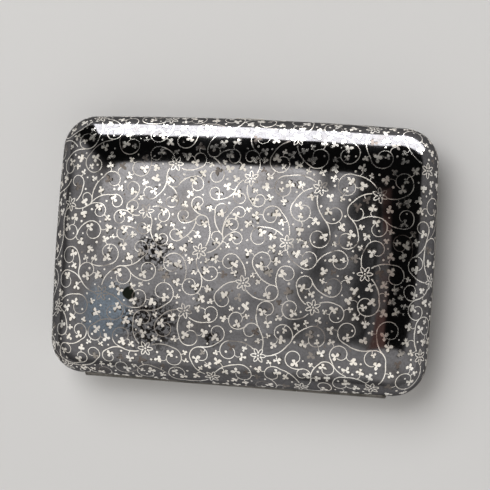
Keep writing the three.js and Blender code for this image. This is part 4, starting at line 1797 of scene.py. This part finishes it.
def plain_metal(name, bright, tarnished, worn, roughness, unevenness=METAL_RELIEF):
    finish, tree, shader = new_finish(name)
    place = object_coordinates(tree)
    patchy = use(tree, clouds, Place=place, Scale=230, Low=0.38, High=0.68)
    small = use(tree, clouds, Place=place, Scale=1600, Low=0.45, High=0.7)
    colour = mix(tree, patchy, bright, tarnished)
    colour = mix(tree, product(tree, small, 0.45), colour, worn)
    wire(tree, colour, shader.inputs["Base Color"])
    shader.inputs["Metallic"].default_value = 1
    lines = use(tree, scratches, Place=place, Amount=0.6)
    polish = ramp(tree, patchy, 0, 1, roughness, roughness + 0.1)
    roughness = calculate(tree, "ADD", polish, product(tree, lines, 0.15))
    wire(tree, roughness, shader.inputs["Roughness"])
    relief_from(tree, use(tree, dents, Place=place), shader, unevenness)
    return finish


silver = plain_metal("silver", (0.5, 0.47, 0.41), (0.32, 0.29, 0.25), (0.2, 0.17, 0.15), 0.3)
gilt = plain_metal("gilt", (0.88, 0.65, 0.3), (0.82, 0.58, 0.27), (0.85, 0.72, 0.48), 0.28, GILT_RELIEF)
# The hinge, its plugs and the bearers are painted nearly black: painted shade along the hinge side.
hinge_silver_painted_dark = plain_metal(
    "hinge_silver_painted_dark", (0.17, 0.16, 0.145), (0.085, 0.08, 0.07), (0.05, 0.045, 0.04), 0.32
)
steel = plain_metal("steel", (0.55, 0.56, 0.58), (0.4, 0.4, 0.42), (0.28, 0.24, 0.2), 0.3)

# %% Elastic
RIB_WIDTH = 0.5
THREAD_PITCH = 0.28
RIB_TURNS = math.pi / (RIB_WIDTH * MM)
THREAD_TURNS = 2 * math.pi / (THREAD_PITCH * MM)
THREAD_SHARE = 0.18
ELASTIC_TAN = (0.53, 0.37, 0.17)
ELASTIC_FADED = (0.62, 0.47, 0.27)
ELASTIC_GROOVE_SHADE = (0.2, 0.12, 0.05)


def elastic_finish():
    finish, tree, shader = new_finish("elastic")
    place = object_coordinates(tree)
    x, y, _ = split_axes(tree, place)
    rib = calculate(tree, "ABSOLUTE", calculate(tree, "SINE", product(tree, x, RIB_TURNS)))
    thread = calculate(tree, "SINE", product(tree, y, THREAD_TURNS))
    twist = calculate(tree, "ADD", thread, product(tree, rib, 2.0))
    height = calculate(tree, "ADD", rib, product(tree, twist, THREAD_SHARE))
    faded = use(tree, clouds, Place=place, Scale=260, Low=0.35, High=0.7)
    colour = mix(tree, faded, ELASTIC_TAN, ELASTIC_FADED)
    # The low parts between the ribs are painted darker: painted shade in the grooves.
    colour = mix(tree, ramp(tree, height, 0.1, 0.9, 0.6, 0.0), colour, ELASTIC_GROOVE_SHADE)
    wire(tree, colour, shader.inputs["Base Color"])
    shader.inputs["Roughness"].default_value = 0.8
    shader.inputs["Sheen Weight"].default_value = 0.25
    relief_from(tree, height, shader, SHEET_RELIEF)
    return finish


elastic = elastic_finish()
print("finishes", [finish.name for finish in (silver, gilt, hinge_silver_painted_dark, steel, elastic)])

# %% [markdown]
# ## Hand the pieces over
# Each piece gets its finish, rides on the body that carries it, and takes the place of its node in the
# working model. The spring only gets its finish and takes the place of its node.

# %% Hand over the covers and the pattern
for shell in (front_shell, back_shell):
    for slot_index, metal in enumerate((niello, silver, gilt)):
        shell.data.materials[slot_index] = metal
hand_over(front_shell, "front_half", ["front_cover"])
hand_over(back_shell, "back_half", ["back_cover"])


def hand_over_with(piece, finish, body, nodes=()):
    piece.data.materials.clear()
    piece.data.materials.append(finish)
    return hand_over(piece, body, nodes)


inlays = {
    "front_half": (front_vines, front_leaves, front_leaf_shadows),
    "back_half": (back_vines, back_leaves, back_leaf_shadows),
}
for body, (vines, leaves, pits) in inlays.items():
    hand_over_with(vines, vine_silver, body)
    hand_over_with(leaves, leaf_silver, body)
    # The third inlay of each cover is the painted shadow beside its leaves.
    hand_over_with(pits, painted_leaf_shadow, body)

# %% Hand over the hinge and the locating strip
for number, knuckle in enumerate(knuckles, 1):
    owner = "back" if number % 2 else "front"
    hand_over_with(knuckle, hinge_silver_painted_dark, owner + "_half", [f"{owner}_knuckle_{number}"])
hand_over_with(pin, steel, "back_half", ["hinge_pin"])
for plug, side in zip(plugs, ("left", "right")):
    hand_over_with(plug, hinge_silver_painted_dark, "back_half", [f"hinge_plug_{side}"])
for bearer, side in ((back_bearer, "back"), (front_bearer, "front")):
    hand_over_with(bearer, hinge_silver_painted_dark, side + "_half", [side + "_joint_bearer"])
hand_over_with(bezel, gilt, "back_half", ["back_bezel"])

# %% Hand over the catch and the bands
hand_over_with(keeper_bar, gilt, "front_half", ["keeper"])
hand_over_with(block, gilt, "back_half", ["spring_block"])
hand_over_with(collar, gilt, "push_piece", ["push_piece_collar"])
hand_over_with(head, silver, "push_piece", ["push_piece"])
for number, rivet in enumerate(rivets, 1):
    hand_over_with(rivet, steel, "back_half", [f"spring_rivet_{number}"])
for side, band in zip(("back", "front"), bands):
    hand_over_with(band, elastic, side + "_half", [side + "_band"])
for (side, end), piece in loops.items():
    hand_over_with(piece, gilt, side + "_half", [f"{side}_band_loop_{end}"])

# %% The spring's finish
spring.data.materials.clear()
spring.data.materials.append(steel)
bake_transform(spring)
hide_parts("catch_spring")

# %% [markdown]
# ## Floor
# The case lies on a plain pale floor. Its colour sets how bright the background is, and it has no gloss
# of its own, so it takes only the case's soft shadow.

# %% Floor
FLOOR_SIZE = 4
select_nothing()
bpy.ops.mesh.primitive_plane_add(size=FLOOR_SIZE, location=(0, 0, 0))
floor = bpy.context.object
floor.name = "floor"
floor_finish, _, floor_shader = new_finish("floor")
floor_shader.inputs["Roughness"].default_value = 0.9
floor_shader.inputs["Specular IOR Level"].default_value = 0
floor_shader.inputs["Base Color"].default_value = (0.58, 0.575, 0.57, 1)
floor.data.materials.append(floor_finish)
print("floor", FLOOR_SIZE, "m wide")

# %% [markdown]
# ## Soft sky
# A dark mirror shows little but its surroundings, so the room is painted on the sky by direction: how far
# right, how far up along the case, and how high. A bright panel overhead on the left is what the flat
# cover mirrors. The room in front and on the left is a third as bright. A light of the same strength
# stands low on the right, and a brownish wall gives the warm strip near the right margin. All other
# directions are nearly black, which is what makes the dark bands along the margins.

# %% Soft sky
PANEL_LEVEL = 3.0
PANEL_LEFT = (-0.33, -0.285)
PANEL_RIGHT = (-0.178, -0.126)
PANEL_NEAR = (-0.07, 0.1)
PANEL_NEAR_SHARE = (0.2, 1.2)
PANEL_FAR = (0.12, 0.22)
ROOM_LEVEL = 1.0
ROOM_END = (-0.35, -0.15)
ROOM_RISE = (0.1, 0.45)
HORIZON_SHARE = 0.25
WALL_LEVEL = 0.4
WALL_LEFT = (-0.115, -0.075)
WALL_RIGHT = (0.2, 0.31)
WALL_FAR = (0.055, 0.085)
WALL_NEAR = (-0.4, -0.25)
WALL_LEAN_FROM = 0.02
WALL_LEAN = 1.75
SIDE_LEVEL = 1.05
SIDE_TOP = (0.24, 0.35)
SIDE_LEFT = (-0.1, 0.1)
SIDE_FAR = (-0.3, 0.05)
SIDE_FAR_SHARE = 0.6
SIDE_NEAR = (-0.85, -0.45)
SIDE_NEAR_SHARE = 0.4
SIDE_LEAN = 2.6
DARK_LEVEL = 0.016
SKY_COLOUR = (1.0, 0.985, 0.955)
WALL_COLOUR = (1.0, 0.55, 0.46)
world = bpy.data.worlds.new("studio")
scene.world = world
world.use_nodes = True
sky = world.node_tree
sky.nodes.clear()
right, up, high = split_axes(sky, new_node(sky, "ShaderNodeTexCoord").outputs["Generated"])

panel_light = product(
    sky,
    ramp(sky, right, *PANEL_LEFT),
    ramp(sky, right, *PANEL_RIGHT, 1, 0),
    ramp(sky, up, *PANEL_NEAR, *PANEL_NEAR_SHARE),
    ramp(sky, up, *PANEL_FAR, 1, 0),
    PANEL_LEVEL,
)
left_and_front = ramp(sky, calculate(sky, "ADD", right, up), *ROOM_END, 1, 0)
room_light = product(sky, left_and_front, ramp(sky, high, *ROOM_RISE, HORIZON_SHARE, 1), ROOM_LEVEL)
above = calculate(sky, "MAXIMUM", calculate(sky, "SUBTRACT", up, WALL_LEAN_FROM), 0.0)
wall_light = product(
    sky,
    ramp(sky, calculate(sky, "SUBTRACT", right, product(sky, above, WALL_LEAN)), *WALL_LEFT),
    ramp(sky, right, *WALL_RIGHT, 1, 0),
    ramp(sky, up, *WALL_FAR, 1, 0),
    ramp(sky, up, *WALL_NEAR),
    WALL_LEVEL,
)
below = calculate(sky, "MINIMUM", up, 0.0)
side_light = product(
    sky,
    ramp(sky, calculate(sky, "ADD", high, product(sky, below, SIDE_LEAN)), *SIDE_TOP, 1, 0),
    ramp(sky, right, *SIDE_LEFT),
    ramp(sky, up, *SIDE_FAR, 1, SIDE_FAR_SHARE),
    ramp(sky, up, *SIDE_NEAR, SIDE_NEAR_SHARE, 1),
    SIDE_LEVEL,
)
level = largest(sky, panel_light, room_light, DARK_LEVEL, wall_light, side_light)

# %% [markdown]
# ## Colour of the sky
# The sky is neutral apart from the wall. The wall's colour fades where the side light is stronger and at
# the left, and in a narrow strip across the middle, where a pale edge breaks it.

# %% Colour of the sky
MIDDLE_NEAR = (-0.03, -0.01)
MIDDLE_FAR = (0.03, 0.045)
WARM_WALL = (0.02, 0.1)
WARM_SIDE = (0.0, 0.3)
WARM_LEFT = (-0.03, 0.05)
middle = product(sky, ramp(sky, up, *MIDDLE_NEAR), ramp(sky, up, *MIDDLE_FAR, 1, 0))
warmth = product(
    sky,
    ramp(sky, wall_light, *WARM_WALL),
    ramp(sky, side_light, *WARM_SIDE, 1, 0),
    ramp(sky, right, *WARM_LEFT),
    calculate(sky, "SUBTRACT", 1.0, middle),
)
background = new_node(sky, "ShaderNodeBackground")
wire(sky, mix(sky, warmth, SKY_COLOUR, WALL_COLOUR), background.inputs["Color"])
wire(sky, level, background.inputs["Strength"])
wire(sky, background.outputs[0], new_node(sky, "ShaderNodeOutputWorld").inputs[0])
print("sky nodes", len(sky.nodes))

# %% [markdown]
# ## Lamps
# A photographer brings a strip light close behind a dark glossy object, and it is mirrored as one bright
# band along the far margin. It lights reflections only, so it leaves no patch on the floor. Held close
# and small, it stays out of the flat covers in all but the lowest views. A broad lamp overhead does the
# opposite work: it lights the floor and the elastic and casts the soft shadow, but no metal mirrors it.

# %% Lamps
STRIP_SIZE = (0.13, 0.024)
STRIP_PLACE = (0.015, 0.06, 0.0225)
STRIP_LEVEL = 6.8
OVERHEAD_SIZE = (1.0, 1.0)
OVERHEAD_PLACE = (-0.4, 0.65, 1.15)
OVERHEAD_LEVEL = 4.7


def lamp(name, size, place, towards, brightness):
    """A rectangle of even brightness that faces a direction."""
    data = bpy.data.lights.new(name, "AREA")
    data.shape = "RECTANGLE"
    data.size, data.size_y = size
    data.energy = brightness * math.pi * size[0] * size[1]
    piece = bpy.data.objects.new(name, data)
    piece.location = place
    piece.rotation_euler = Vector(towards).to_track_quat("-Z", "Y").to_euler()
    piece.visible_camera = False
    scene.collection.objects.link(piece)
    print(name, round(data.energy, 2), "watts")
    return piece


strip_light = lamp("strip_light", STRIP_SIZE, STRIP_PLACE, (0, -1, 0), STRIP_LEVEL)
strip_light.visible_diffuse = False
to_the_case = -Vector(OVERHEAD_PLACE)
overhead = lamp("overhead", OVERHEAD_SIZE, OVERHEAD_PLACE, to_the_case, OVERHEAD_LEVEL)
overhead.visible_glossy = False

# %% [markdown]
# ## Settings
# The view transform is Standard, so colours show as they are written.

# %% Settings
scene.view_settings.view_transform = "Standard"
